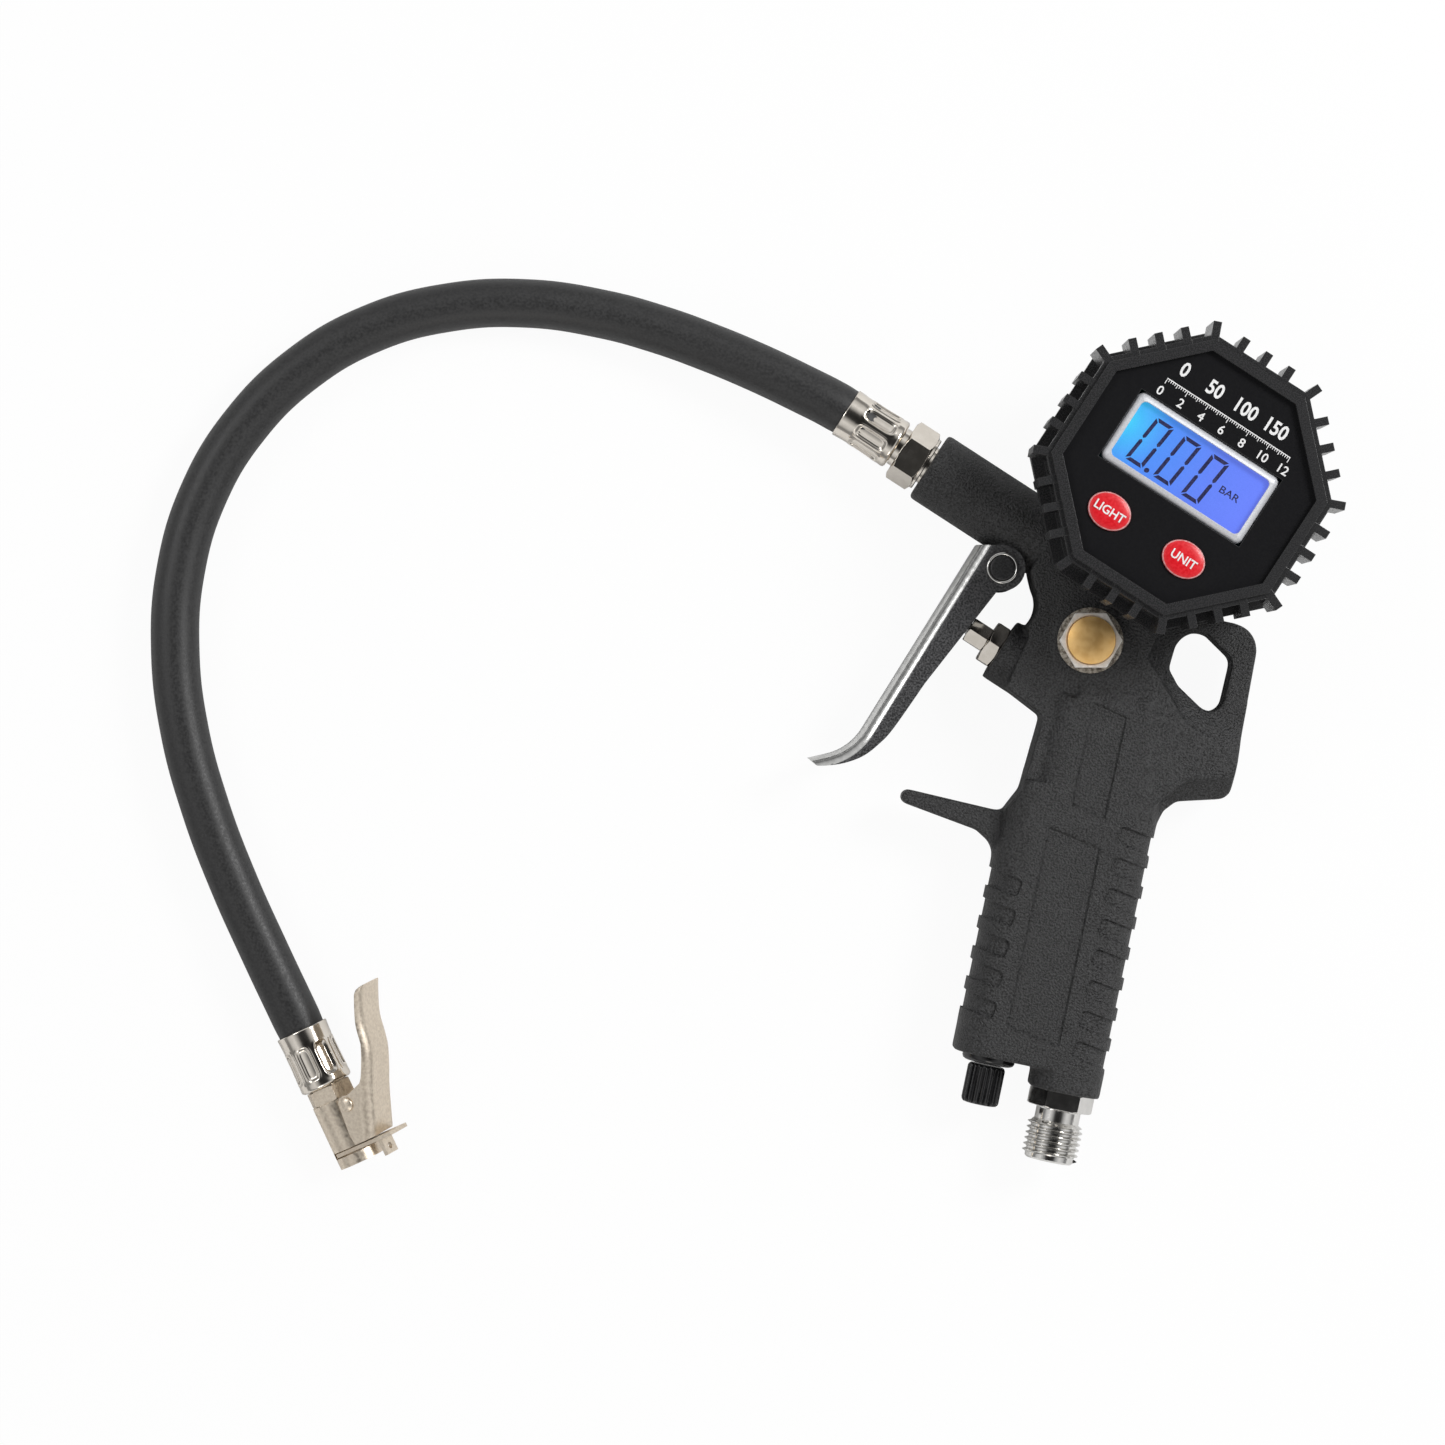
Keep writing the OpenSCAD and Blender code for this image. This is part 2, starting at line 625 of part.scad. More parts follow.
// Spine line from top to tip: straight, then a bend that ends in a turned-out tip
function spine_line(inset) = concat(
    [[spine_x + inset, spine_top]],
    arc(spine_x - bend_r, spine_low, bend_r + inset, 0, -bend, 6),
    [[
        spine_x - bend_r + (bend_r + inset) * cos(bend) - tip_l * sin(bend),
        spine_low - (bend_r + inset) * sin(bend) - tip_l * cos(bend)
    ]]
);
function turned(points) = [for (i = [len(points) - 1 : -1 : 0]) points[i]];
module trigger() {
    color([0.5, 0.5, 0.51])
    difference() {
        at_pivot() union() {
            slab(trigger_out) polygon(concat(spine_line(0), turned(spine_line(trigger_sheet))));
            for (side = [-1, 1]) translate([0, 0, side * (channel_w + trigger_sheet) / 2]) {
                slab(trigger_sheet) polygon(concat(
                    spine_line(trigger_sheet / 2),
                    [[-13.5, -63.8], [-10.5, -62.2], [-6.6, -58.4]],
                    [[-3.1, -53.3], [-1.7, -47.4], [-1.2, -33.8]],
                    arc(0, 0, eye_r, -70, 0, 4), arc(0, 0, eye_r, 0, 130, 8)
                ));
            }
        }
        at_pivot() translate([0, 0, -trigger_out]) cylinder(h = 2 * trigger_out, d = pivot_d + 2 * slip);
    }
}
module pivot_pin() {
    color([0.2, 0.2, 0.2])
    at_pivot() translate([0, 0, -trigger_out / 2 - 0.8]) cylinder(h = trigger_out + 1.6, d = pivot_d);
}
module pivot_clips() {
    color("silver")
    for (side = [0, 1]) mirror([0, 0, side])
        at_pivot() translate([0, 0, trigger_out / 2 + 0.1]) ring(pivot_d + 1.4, pivot_d, 0.5);
}

// ---------------------------------------------------------------- main valve
module at_valve(u) {
    in_head(u, -valve_drop) along_x() children();
}
web_inner_u = pivot_u + spine_x + trigger_sheet
    + (valve_drop - pivot_drop) * sin(head_tilt - spine_tilt);
plunger_u = web_inner_u + trigger_play + 0.25;
poppet_d = chamber_d - 1;
poppet_u = seat_u + seat_t + 0.4;
poppet_t = 2.4;
module valve_guide() {
    color([0.75, 0.68, 0.55])
    difference() {
        union() {
            at_valve(boss_u - gland_h - guide_h) hexagon(guide_af, guide_h);
            at_valve(boss_u - gland_h) cylinder(h = 1.8, d = guide_af);
        }
        at_valve(boss_u - gland_h - guide_h - over)
            cylinder(h = guide_h + 4, d = plunger_d + 2 * slip);
    }
}
module valve_gland() {
    color([0.8, 0.74, 0.62])
    difference() {
        union() {
            at_valve(boss_u - gland_h) hexagon(gland_af, gland_h);
            at_valve(boss_u - 1) cylinder(h = gland_shank_l + 1, d = shank_d);
        }
        at_valve(boss_u - gland_h - over)
            cylinder(h = gland_h + gland_shank_l + 2 * over, d = plunger_d + 2 * slip);
        at_valve(boss_u - gland_h - over) cylinder(h = gland_h + over, d = guide_af + 2 * seat);
    }
}
module stem_packing() {
    color([0.1, 0.1, 0.1])
    at_valve(boss_u - gland_h + 1.8) ring(guide_af, plunger_d + 2 * slip, gland_h - 1.8);
}
module valve_seat() {
    color("goldenrod")
    at_valve(seat_u) ring(chamber_d - 2 * seat, 5.2, seat_t);
}
module plunger() {
    color("silver")
    union() {
        at_valve(plunger_u) rotate_extrude() polygon([
            [0, 0], [plunger_d / 2 - 0.7, 0], [plunger_d / 2, 0.5],
            [plunger_d / 2, poppet_u - plunger_u + 1], [0, poppet_u - plunger_u + 1]
        ]);
        at_valve(poppet_u) cylinder(h = poppet_t, d = poppet_d);
        at_valve(poppet_u + 1) cylinder(h = poppet_t + 2, d = 2.6);
    }
}
module poppet_seal() {
    color([0.1, 0.1, 0.1])
    at_valve(poppet_u - 0.38) ring(poppet_d - 0.4, plunger_d, 0.38);
}
module valve_spring() {
    color("silver")
    at_valve(poppet_u + poppet_t) spring_turns(5, 0.8, chamber_end_u - poppet_u - poppet_t, 6);
}

// ---------------------------------------------------------------- bleed valve
bleed_low_z = 1;
collar_floor_z = bleed_boss_z + 1;
dome_low_z = collar_floor_z + bleed_travel + 0.3;
dome_h = 3.6;
bleed_stem_d = 3.2;
module at_bleed(z) {
    in_head(bleed_u, -bleed_drop, z) children();
}
module bleed_collar() {
    color([0.72, 0.69, 0.62])
    difference() {
        union() {
            at_bleed(bleed_boss_z) rotate([0, 0, collar_turn]) hexagon(collar_af, collar_h);
            at_bleed(bleed_boss_z) cylinder(h = collar_flange_h, d = collar_flange_d);
            at_bleed(bleed_low_z) cylinder(h = collar_floor_z - bleed_low_z, d = shank_d);
        }
        at_bleed(collar_floor_z) cylinder(h = collar_h, d = bleed_d + 2 * slip);
        at_bleed(0) cylinder(h = 30, d = bleed_stem_d + 2 * slip);
    }
}
module bleed_button() {
    dome_r = 16;
    color([0.78, 0.6, 0.28])
    union() {
        difference() {
            intersection() {
                at_bleed(dome_low_z) cylinder(h = dome_h, d = bleed_d);
                at_bleed(dome_low_z + dome_h - dome_r) sphere(r = dome_r, $fn = 96);
            }
            at_bleed(dome_low_z - over) cylinder(h = dome_h - 1 + over, d = bleed_d - 3);
        }
        at_bleed(bleed_low_z - 2.2) cylinder(h = dome_low_z + dome_h - bleed_low_z + 1.6, d = bleed_stem_d);
        at_bleed(bleed_low_z - 2.2) cylinder(h = 0.8, d = 5.6);
    }
}
module bleed_seal() {
    color([0.1, 0.1, 0.1])
    at_bleed(bleed_low_z - 1.4) ring(6.4, bleed_stem_d, 1.35);
}
module bleed_spring() {
    color("silver")
    at_bleed(collar_floor_z) spring_turns(6.2, 0.7, dome_low_z + dome_h - 1 - collar_floor_z, 3);
}

// ---------------------------------------------------------------- gauge
boot_z = head_half + boot_gap;
rim_z = boot_z + boot_h;
rim_lip = 1.6;
boot_wall = 1.6;
back_lip = 5.5;
face_af = case_af - 2 * lip_in;
rim_af = case_af + 2 * rim_wall;
boot_af = case_af + 2 * skirt_out;
inner_af = case_af - 2 * case_wall;
back_z = boot_z + boot_wall;
back_t = 1.7;
case_top_z = rim_z - rim_lip - 1.2;
case_front_t = 1.8;
case_low_z = back_z + back_t;
ledge_z = case_top_z - case_front_t;
board_t = 1.6;
board_z = ledge_z - 5;
glass_t = 2;
glass_z = rim_z - rim_lip - 0.9 - glass_t;
frame_u = -1;
frame_v = 2.1;
frame_top_z = rim_z - rim_lip + 0.2;
buttons_v = -(case_af / 2 - 12.5);
light_u = -11.5;
unit_u = 9.4;
sensor_z = case_low_z + 3.4;
post_in = 4.9;
post_places = [[-15, case_af / 2 - 9.1], [15, case_af / 2 - 9.1], [-1, post_in - case_af / 2]];
back_post_r = case_af / 2 - 8.5;
back_post_h = 8;
screw_d = 2.3;
screw_places = [for (k = [0 : 3]) [back_post_r * cos(90 * k), back_post_r * sin(90 * k)]];
sensor_d = 12;
battery_d = 10.5;
battery_v = sensor_d / 2 + battery_d / 2 + 0.15;
// The cells fill the case between its slanted sides
battery_l = 2 * (inner_af / 2 * (1 + tan(22.5)) - battery_v - battery_d / 2 - 0.27);
battery_z = case_low_z + 0.8 + battery_d / 2;
contact_t = 0.5;
contact_w = battery_d - 3.5;
contact_h = battery_d - 2.5;
strip_w = 1.6;
strip_in = 1.9;
switch_w = 6;
post_bore_d = 1.8;
// Height of the cuts for the display and the buttons through the face
face_cut_h = case_front_t + 2 * over;
module at_gauge(x = 0, y = 0, z = 0) {
    in_head(gauge_u + x, gauge_rise + y, z) children();
}
module gauge_nipple() {
    color([0.75, 0.62, 0.35])
    difference() {
        union() {
            at_gauge(0, 0, airway_d / 2 + 1) cylinder(h = sensor_z - airway_d / 2 - 1, d = nipple_d);
            at_gauge(0, 0, head_half + 0.8) hexagon(12, back_z - head_half - 0.8);
        }
        at_gauge(0, 0, -over) cylinder(h = sensor_z + 2 * over, d = 3);
    }
}
module nipple_washer() {
    color([0.7, 0.4, 0.25])
    at_gauge(0, 0, head_half) ring(13, nipple_d + 2 * seat, 0.8);
}
module pressure_sensor() {
    color([0.7, 0.7, 0.72])
    union() {
        at_gauge(0, 0, sensor_z) cylinder(h = 4.5, d = sensor_d);
        at_gauge(0, 0, sensor_z + 1) cylinder(h = board_z - sensor_z - 1, d = 5);
    }
}
rib_places = [-1, 0, 1];
skirt_h = 4;
rim_h = 4.6;
web_af = case_af + 3;
module gauge_boot() {
    side_step = rim_af * tan(22.5) / 4;
    rib_reach = rim_af / 2 + lug_out;
    color([0.13, 0.13, 0.14])
    difference() {
        at_gauge() union() {
            translate([0, 0, boot_z]) octagon(boot_af, skirt_h);
            translate([0, 0, boot_z]) octagon(web_af, boot_h - rim_h + 1);
            translate([0, 0, rim_z - rim_h]) octagon(rim_af + 2.4, rim_h - 1.2);
            translate([0, 0, rim_z - 1.3]) octagon(rim_af, 1.3);
            for (k = [0 : 7]) rotate([0, 0, 45 * k]) {
                for (i = rib_places)
                    translate([0, i * side_step - lug_w / 2, rim_z - lug_l - 1])
                        cube([rib_reach, lug_w, lug_l]);
                rotate([0, 0, 22.5]) translate([0, -lug_w / 2, rim_z - lug_l - 1])
                    cube([corner_r(rim_af, 8) + lug_out, lug_w, lug_l]);
            }
        }
        at_gauge(0, 0, boot_z - over) octagon(case_af - 2 * back_lip, 2 * over + boot_wall);
        at_gauge(0, 0, back_z) octagon(case_af + 2 * seat, rim_z - rim_lip - back_z);
        at_gauge(0, 0, back_z) octagon(face_af, boot_h);
    }
}
module gauge_case() {
    color([0.1, 0.1, 0.11])
    difference() {
        at_gauge() union() {
            difference() {
                translate([0, 0, case_low_z]) octagon(case_af, case_top_z - case_low_z);
                translate([0, 0, case_low_z - over]) octagon(inner_af, ledge_z - case_low_z + over);
            }
            for (p = post_places) translate([p[0], p[1], board_z + board_t])
                cylinder(h = case_top_z - board_z - board_t, d = 4.4);
            for (k = [0 : 3]) rotate([0, 0, 90 * k]) translate([back_post_r, 0, case_low_z]) {
                cylinder(h = back_post_h, d = 4.4);
                translate([0, -1, 0]) cube([inner_af / 2 - back_post_r + 0.5, 2, back_post_h]);
            }
        }
        for (p = screw_places) at_gauge(p[0], p[1], case_low_z - over)
            cylinder(h = back_post_h - 1 + over, d = screw_d + 2 * seat);
        at_gauge(frame_u, frame_v) translate([0, 0, ledge_z - over])
            linear_extrude(10) square([frame_w + 2 * gap, frame_h + 2 * gap], center = true);
        for (x = [light_u, unit_u]) at_gauge(x, buttons_v, ledge_z - over)
            linear_extrude(10) polygon(oval(button_w + 2 * slip, button_h + 2 * slip));
        for (p = post_places) at_gauge(p[0], p[1], board_z) cylinder(h = 4.4, d = post_bore_d);
    }
}
module gauge_back() {
    color([0.12, 0.12, 0.13])
    difference() {
        at_gauge() union() {
            translate([0, 0, back_z]) octagon(case_af, back_t);
            for (y = [-1, 1]) for (x = [-1, 1])
                translate([x * (battery_l / 2 - 4.2), y * battery_v, case_low_z])
                    cube([2, 7, 1.6], center = true);
        }
        at_gauge(0, 0, back_z - over) cylinder(h = 8, d = nipple_d + 2 * seat);
        for (p = screw_places) at_gauge(p[0], p[1], back_z - over) cylinder(h = 8, d = screw_d + 2 * seat);
    }
}
module back_screws() {
    color("silver")
    for (p = screw_places) {
        at_gauge(p[0], p[1], back_z - 0.9) cylinder(h = 0.9, d = 4);
        at_gauge(p[0], p[1], back_z) cylinder(h = back_t + back_post_h - 2, d = screw_d);
    }
}
module face_plate() {
    color([0.04, 0.04, 0.05])
    difference() {
        at_gauge(0, 0, case_top_z) octagon(case_af - 0.6, rim_z - rim_lip - case_top_z);
        at_gauge(frame_u, frame_v, case_top_z - over)
            linear_extrude(face_cut_h) square([frame_w + 2 * slip, frame_h + 2 * slip], center = true);
        for (x = [light_u, unit_u]) at_gauge(x, buttons_v, case_top_z - over)
            linear_extrude(face_cut_h) polygon(oval(button_w + 2 * slip, button_h + 2 * slip));
    }
}
module lcd_bezel() {
    frame_low_z = board_z + board_t + 0.6;
    color([0.8, 0.8, 0.82])
    difference() {
        at_gauge(frame_u, frame_v, frame_low_z) linear_extrude(frame_top_z - frame_low_z)
            square([frame_w, frame_h], center = true);
        at_gauge(frame_u, frame_v, frame_low_z - over) linear_extrude(glass_z + glass_t - frame_low_z + over)
            square([frame_w - 1.2, frame_h - 1.2], center = true);
        at_gauge(frame_u, frame_v, frame_low_z) linear_extrude(20)
            square([frame_w - 2 * frame_band, frame_h - 2 * frame_band], center = true);
    }
}
module lcd_glass() {
    color([0.3, 0.4, 0.9])
    at_gauge(frame_u, frame_v, glass_z) linear_extrude(glass_t)
        square([frame_w - 1.3, frame_h - 1.3], center = true);
}
module backlight() {
    color("white")
    at_gauge(frame_u, frame_v, board_z + board_t) linear_extrude(glass_z - board_z - board_t)
        square([frame_w - 2, frame_h - 2 * strip_in - strip_w - 1], center = true);
}
module contact_strips() {
    color([0.5, 0.5, 0.5])
    for (side = [-1, 1]) at_gauge(frame_u, frame_v + side * (frame_h / 2 - strip_in), board_z + board_t)
        linear_extrude(glass_z - board_z - board_t) square([frame_w - 4, strip_w], center = true);
}
module circuit_board() {
    color([0.1, 0.35, 0.2])
    difference() {
        at_gauge(0, 0, board_z) octagon(inner_af - 0.8, board_t);
        for (p = post_places) at_gauge(p[0], p[1], board_z - over)
            cylinder(h = board_t + 2 * over, d = post_bore_d);
    }
}
module board_screws() {
    color("silver")
    for (p = post_places) {
        at_gauge(p[0], p[1], board_z - 1) cylinder(h = 1, d = 3.4);
        at_gauge(p[0], p[1], board_z) cylinder(h = 4, d = 1.7);
    }
}
switch_h = 2.2;
flange_gap = 0.1;
button_low_z = board_z + board_t + switch_h + button_travel + 0.1;
module key_switches() {
    color([0.2, 0.2, 0.2])
    for (x = [light_u, unit_u]) {
        at_gauge(x, buttons_v, board_z + board_t + 0.8) cube([switch_w, switch_w, 1.6], center = true);
        at_gauge(x, buttons_v, board_z + board_t + 1) cylinder(h = switch_h - 1, d = switch_w / 2);
    }
}
module oval_button(x) {
    face_z = rim_z - rim_lip;
    dome_r = 22;
    color([0.85, 0.05, 0.08])
    union() {
        intersection() {
            at_gauge(x, buttons_v, button_low_z) linear_extrude(face_z + button_out - button_low_z)
                polygon(oval(button_w, button_h));
            at_gauge(x, buttons_v, face_z + button_out - dome_r) sphere(r = dome_r, $fn = 96);
        }
        at_gauge(x, buttons_v, button_low_z) linear_extrude(ledge_z - flange_gap - button_low_z)
            polygon(oval(button_w + 1.6, button_h + 1.6));
    }
}
module light_button() {
    oval_button(light_u);
}
module unit_button() {
    oval_button(unit_u);
}
module batteries() {
    color([0.35, 0.35, 0.4])
    for (side = [-1, 1]) {
        at_gauge(-battery_l / 2, side * battery_v, battery_z) along_x()
            cylinder(h = battery_l - 1, d = battery_d);
        at_gauge(0, side * battery_v, battery_z) along_x()
            cylinder(h = battery_l / 2, d = battery_d / 2 - 0.25);
    }
}
module battery_contacts() {
    color("silver")
    for (side = [-1, 1]) for (end = [-1, 1])
        at_gauge(end * (battery_l / 2 + 0.3), side * battery_v, battery_z)
            cube([contact_t, contact_w, contact_h], center = true);
}

// ---------------------------------------------------------------- hose and front fitting
hex_gap = 2.2;
collar_gap = 0.6;
ferrule_gap = 1.3;
barb_d = 7.8;
front_hex_u = -hex_gap - front_hex_h;
front_end_u = front_hex_u - ferrule_gap;
front_mouth_u = front_end_u - ferrule_l;
module front_fitting() {
    color([0.78, 0.76, 0.7])
    difference() {
        union() {
            in_head(front_mouth_u + 1) along_x() cylinder(h = ferrule_l + ferrule_gap, d = barb_d);
            in_head(front_end_u) along_x() cylinder(h = ferrule_gap + 0.5, d = 10);
            in_head(front_hex_u) along_x() rotate([0, 0, 39]) hexagon(front_hex_af, front_hex_h);
            in_head(-hex_gap - 0.5) along_x()
                cylinder(h = hex_gap + 0.5 - barrel_nose - collar_gap, d = front_hex_af - 0.2);
            in_head(-hex_gap - 1) along_x() cylinder(h = hex_gap + 2, d = barrel_socket_d - 1);
            in_head() along_x() cylinder(h = barrel_socket_l - 0.5, d = barrel_socket_d - 2 * seat);
        }
        in_head(front_mouth_u) along_x() cylinder(h = 60, d = 5);
    }
}
module ferrule(outer_d) {
    difference() {
        cylinder(h = ferrule_l, d = outer_d);
        translate([0, 0, -over]) cylinder(h = ferrule_l - 0.8 + over, d = hose_d + 0.1);
        cylinder(h = ferrule_l + over, d = barb_d + 2 * seat);
    }
}
module front_ferrule() {
    color([0.8, 0.77, 0.7])
    in_head(front_mouth_u) along_x() ferrule(front_ferrule_d);
}

chuck_x = -186;
chuck_y = -6.3;
chuck_z = -4.8;
chuck_turn = 53.2;
chuck_roll = 27;
// Local X runs along the chuck away from the hose, local Y to the lever
module in_chuck(w = 0, s = 0, z = 0) {
    translate([chuck_x, chuck_y, chuck_z]) rotate([0, 0, -chuck_turn]) rotate([chuck_roll, 0, 0])
        translate([w, s, z]) children();
}
hose_z = -5.5;
front_start = head_point(front_mouth_u + ferrule_l - 1.4, 0);
front_mouth = head_point(front_mouth_u - 2, 0);
// Centre line of the hose, from the front ferrule to the chuck's ferrule
hose_points = [
    [front_start[0], front_start[1], 0], [front_mouth[0], front_mouth[1], 0],
    [-98, 173, -0.8], [-110, 176, -2.3], [-122, 178.4, -3.8], [-135, 180.3, -4.9],
    [-149, 181.2, hose_z], [-168, 180, hose_z], [-187, 175, hose_z], [-204.5, 166, hose_z],
    [-219, 153, hose_z], [-230, 136.5, hose_z], [-236.5, 118, hose_z], [-238.2, 98, hose_z],
    [-235.5, 78.7, hose_z], [-229.3, 60, hose_z], [-220.4, 42.4, hose_z], [-210, 26, hose_z],
    [-198.5, 10.2, -5.3], [chuck_x - 1.8, chuck_y + 2.4, -4.9],
    [chuck_x + 13.6 * cos(chuck_turn), chuck_y - 13.6 * sin(chuck_turn), chuck_z]
];
hose_sides = 12;
function unit(a) = a / norm(a);
// Direction of the centre line at point i
function hose_dir(i) =
    i == 0 ? unit(hose_points[1] - hose_points[0]) :
    i == len(hose_points) - 1 ? unit(hose_points[i] - hose_points[i - 1]) :
    unit(unit(hose_points[i + 1] - hose_points[i]) + unit(hose_points[i] - hose_points[i - 1]));
// One ring of the hose's skin at point i
function hose_ring(i, r) = [
    for (k = [0 : hose_sides - 1])
        let (side = unit(cross([0, 0, 1], hose_dir(i))), up = cross(hose_dir(i), side))
        hose_points[i] + r * (cos(360 * k / hose_sides) * side + sin(360 * k / hose_sides) * up)
];
module hose() {
    rings = len(hose_points);
    n = hose_sides;
    outer = [for (i = [0 : rings - 1]) each hose_ring(i, hose_d / 2)];
    inner = [for (i = [0 : rings - 1]) each hose_ring(i, hose_bore_d / 2)];
    base = rings * n;
    color([0.14, 0.14, 0.15])
    polyhedron(
        points = concat(outer, inner),
        faces = concat(
            [for (i = [0 : rings - 2]) for (k = [0 : n - 1])
                [i * n + k, i * n + (k + 1) % n, (i + 1) * n + (k + 1) % n, (i + 1) * n + k]],
            [for (i = [0 : rings - 2]) for (k = [0 : n - 1])
                [base + i * n + k, base + (i + 1) * n + k,
                    base + (i + 1) * n + (k + 1) % n, base + i * n + (k + 1) % n]],
            [for (k = [0 : n - 1]) [k, base + k, base + (k + 1) % n, (k + 1) % n]],
            [for (k = [0 : n - 1])
                [base - n + k, base - n + (k + 1) % n, 2 * base - n + (k + 1) % n, 2 * base - n + k]]
        )
    );
}

// ---------------------------------------------------------------- chuck
neck_w = ferrule_l + 0.2;
chuck_w = neck_w + neck_h;
chuck_end_w = chuck_w + chuck_l;
stem_shank_l = 4.5;
stem_shank_d = 8;
slot_w = chuck_end_w - 4.3;
seal_w = chuck_end_w - mouth_l - 2.6;
rivet_w = chuck_w + 2.1;
lug_z = 3.2;
module chuck_ferrule() {
    color([0.8, 0.77, 0.7])
    in_chuck() along_x() ferrule(chuck_ferrule_d);
}
module chuck_stem() {
    color([0.72, 0.68, 0.6])
    difference() {
        union() {
            in_chuck(1) along_x() cylinder(h = neck_w - 1, d = barb_d);
            in_chuck(neck_w) along_x() rotate([0, 0, 20]) hexagon(neck_af, neck_h);
            in_chuck(chuck_w) along_x() cylinder(h = stem_shank_l, d = stem_shank_d);
        }
        in_chuck() along_x() cylinder(h = 60, d = 4.4);
    }
}
module chuck_body() {
    color([0.78, 0.72, 0.64])
    difference() {
        union() {
            in_chuck(chuck_w) along_x() cylinder(h = chuck_l, d = chuck_d);
            in_chuck(chuck_w, 0, -lug_z) cube([4.2, rivet_s + 1.8, 2 * lug_z]);
        }
        in_chuck(chuck_w - over) along_x() cylinder(h = stem_shank_l + over, d = stem_shank_d + 2 * seat);
        in_chuck(chuck_w) along_x() cylinder(h = chuck_l - 4, d = 4);
        in_chuck(seal_w) along_x() cylinder(h = chuck_l, d = mouth_d);
        in_chuck(slot_w, -chuck_d / 2 + 1, -chuck_d) cube([slot_h, 2 * chuck_d, 2 * chuck_d]);
        in_chuck(rivet_w, rivet_s, -10) cylinder(h = 20, d = rivet_d + 2 * seat);
    }
}
module chuck_seal() {
    color([0.1, 0.1, 0.1])
    in_chuck(seal_w) along_x() ring(mouth_d - 2 * seat, 4, 2.6);
}
module valve_depressor() {
    color("silver")
    union() {
        in_chuck(seal_w) along_x() cylinder(h = 4.4, d = 1.6);
        difference() {
            in_chuck(seal_w - 1) along_x() cylinder(h = 1, d = 4 - 2 * seat);
            for (y = [-1, 1]) in_chuck(seal_w - 2, y * 1.35) along_x() cylinder(h = 3, d = 0.8, $fn = 24);
        }
    }
}
cheek_out = cheek_w + 2 * lever_sheet;
module lever_rivet() {
    color([0.85, 0.83, 0.78])
    in_chuck(rivet_w, rivet_s) union() {
        translate([0, 0, -cheek_out / 2 - 0.1]) cylinder(h = cheek_out + 0.2, d = rivet_d);
        for (side = [0, 1]) mirror([0, 0, side])
            translate([0, 0, cheek_out / 2 + 0.1]) intersection() {
                cylinder(h = 1, d = 3.6);
                translate([0, 0, -2.2]) sphere(r = 3.1);
            }
    }
}
module lever_spring() {
    color("silver")
    for (side = [0, 1]) in_chuck(rivet_w, rivet_s) mirror([0, 0, side])
        translate([0, 0, lug_z + 0.1]) spring_turns(3.4, 0.45, 1.9, 3);
}
// Back line of the chuck's lever from the thumb's end down to the jaw plate
function lever_line(inset) = [
    [-3.9, 24 - inset], [0.5, 21.7 - inset], [4.5, 20 - inset], [9, 19.1 - inset],
    [12.5, 18.2 - inset], [17, 16.1 - inset], [22, 13.5 - inset], [chuck_end_w - 4.9, 9.8 - inset]
];
jaw_w = slot_w + (slot_h - jaw_t) / 2;
lever_low_w = jaw_w - 0.4;
module chuck_lever() {
    eye = 2.3;
    color([0.8, 0.76, 0.69])
    difference() {
        in_chuck() union() {
            slab(cheek_out) polygon(concat(lever_line(0), turned(lever_line(lever_sheet))));
            for (side = [-1, 1]) translate([0, 0, side * (cheek_w + lever_sheet) / 2])
                slab(lever_sheet) polygon(concat(
                    [[16.4, 14.2], [18.6, 9.4]],
                    arc(rivet_w, rivet_s, eye, 150, 250, 6),
                    [[lever_low_w - 3, rivet_s - 2.9], [lever_low_w, rivet_s - 2.6], [lever_low_w, 9.1]],
                    [[22, 12.5]]
                ));
        }
        in_chuck(rivet_w, rivet_s, -10) cylinder(h = 20, d = rivet_d + 2 * slip);
    }
}
module jaw_plate() {
    mouth_grip = 0.7;
    color([0.82, 0.78, 0.7])
    difference() {
        in_chuck(jaw_w) union() {
            translate([0, -3.6, -4.2]) cube([jaw_t, 17, 8.4]);
            translate([jaw_t - 0.01, 8.2, -2.6]) cube([4.2, jaw_t, 5.2]);
        }
        in_chuck(jaw_w - over) along_x() cylinder(h = 3, d = mouth_d - mouth_grip);
        in_chuck(jaw_w + 3.3, 7, 0) rotate([-90, 0, 0]) cylinder(h = 4, d = 1.6);
    }
}

body();
inlet_fitting();
inlet_screen();
flow_knob();
needle();
knob_gland();
knob_seal();
trigger();
pivot_pin();
pivot_clips();
plunger();
poppet_seal();
valve_guide();
valve_gland();
stem_packing();
valve_seat();
valve_spring();
bleed_collar();
bleed_button();
bleed_seal();
bleed_spring();
gauge_nipple();
nipple_washer();
pressure_sensor();
gauge_boot();
gauge_case();
gauge_back();
back_screws();
face_plate();
lcd_bezel();
lcd_glass();
backlight();
contact_strips();
circuit_board();
board_screws();
key_switches();
light_button();
unit_button();
batteries();
battery_contacts();
front_fitting();
front_ferrule();
hose();
chuck_ferrule();
chuck_stem();
chuck_body();
chuck_seal();
valve_depressor();
lever_rivet();
lever_spring();
chuck_lever();
jaw_plate();
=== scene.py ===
# A tyre inflator with a digital gauge, lying on its side and seen from straight above.
import math
import bpy
from mathutils import Matrix, Vector


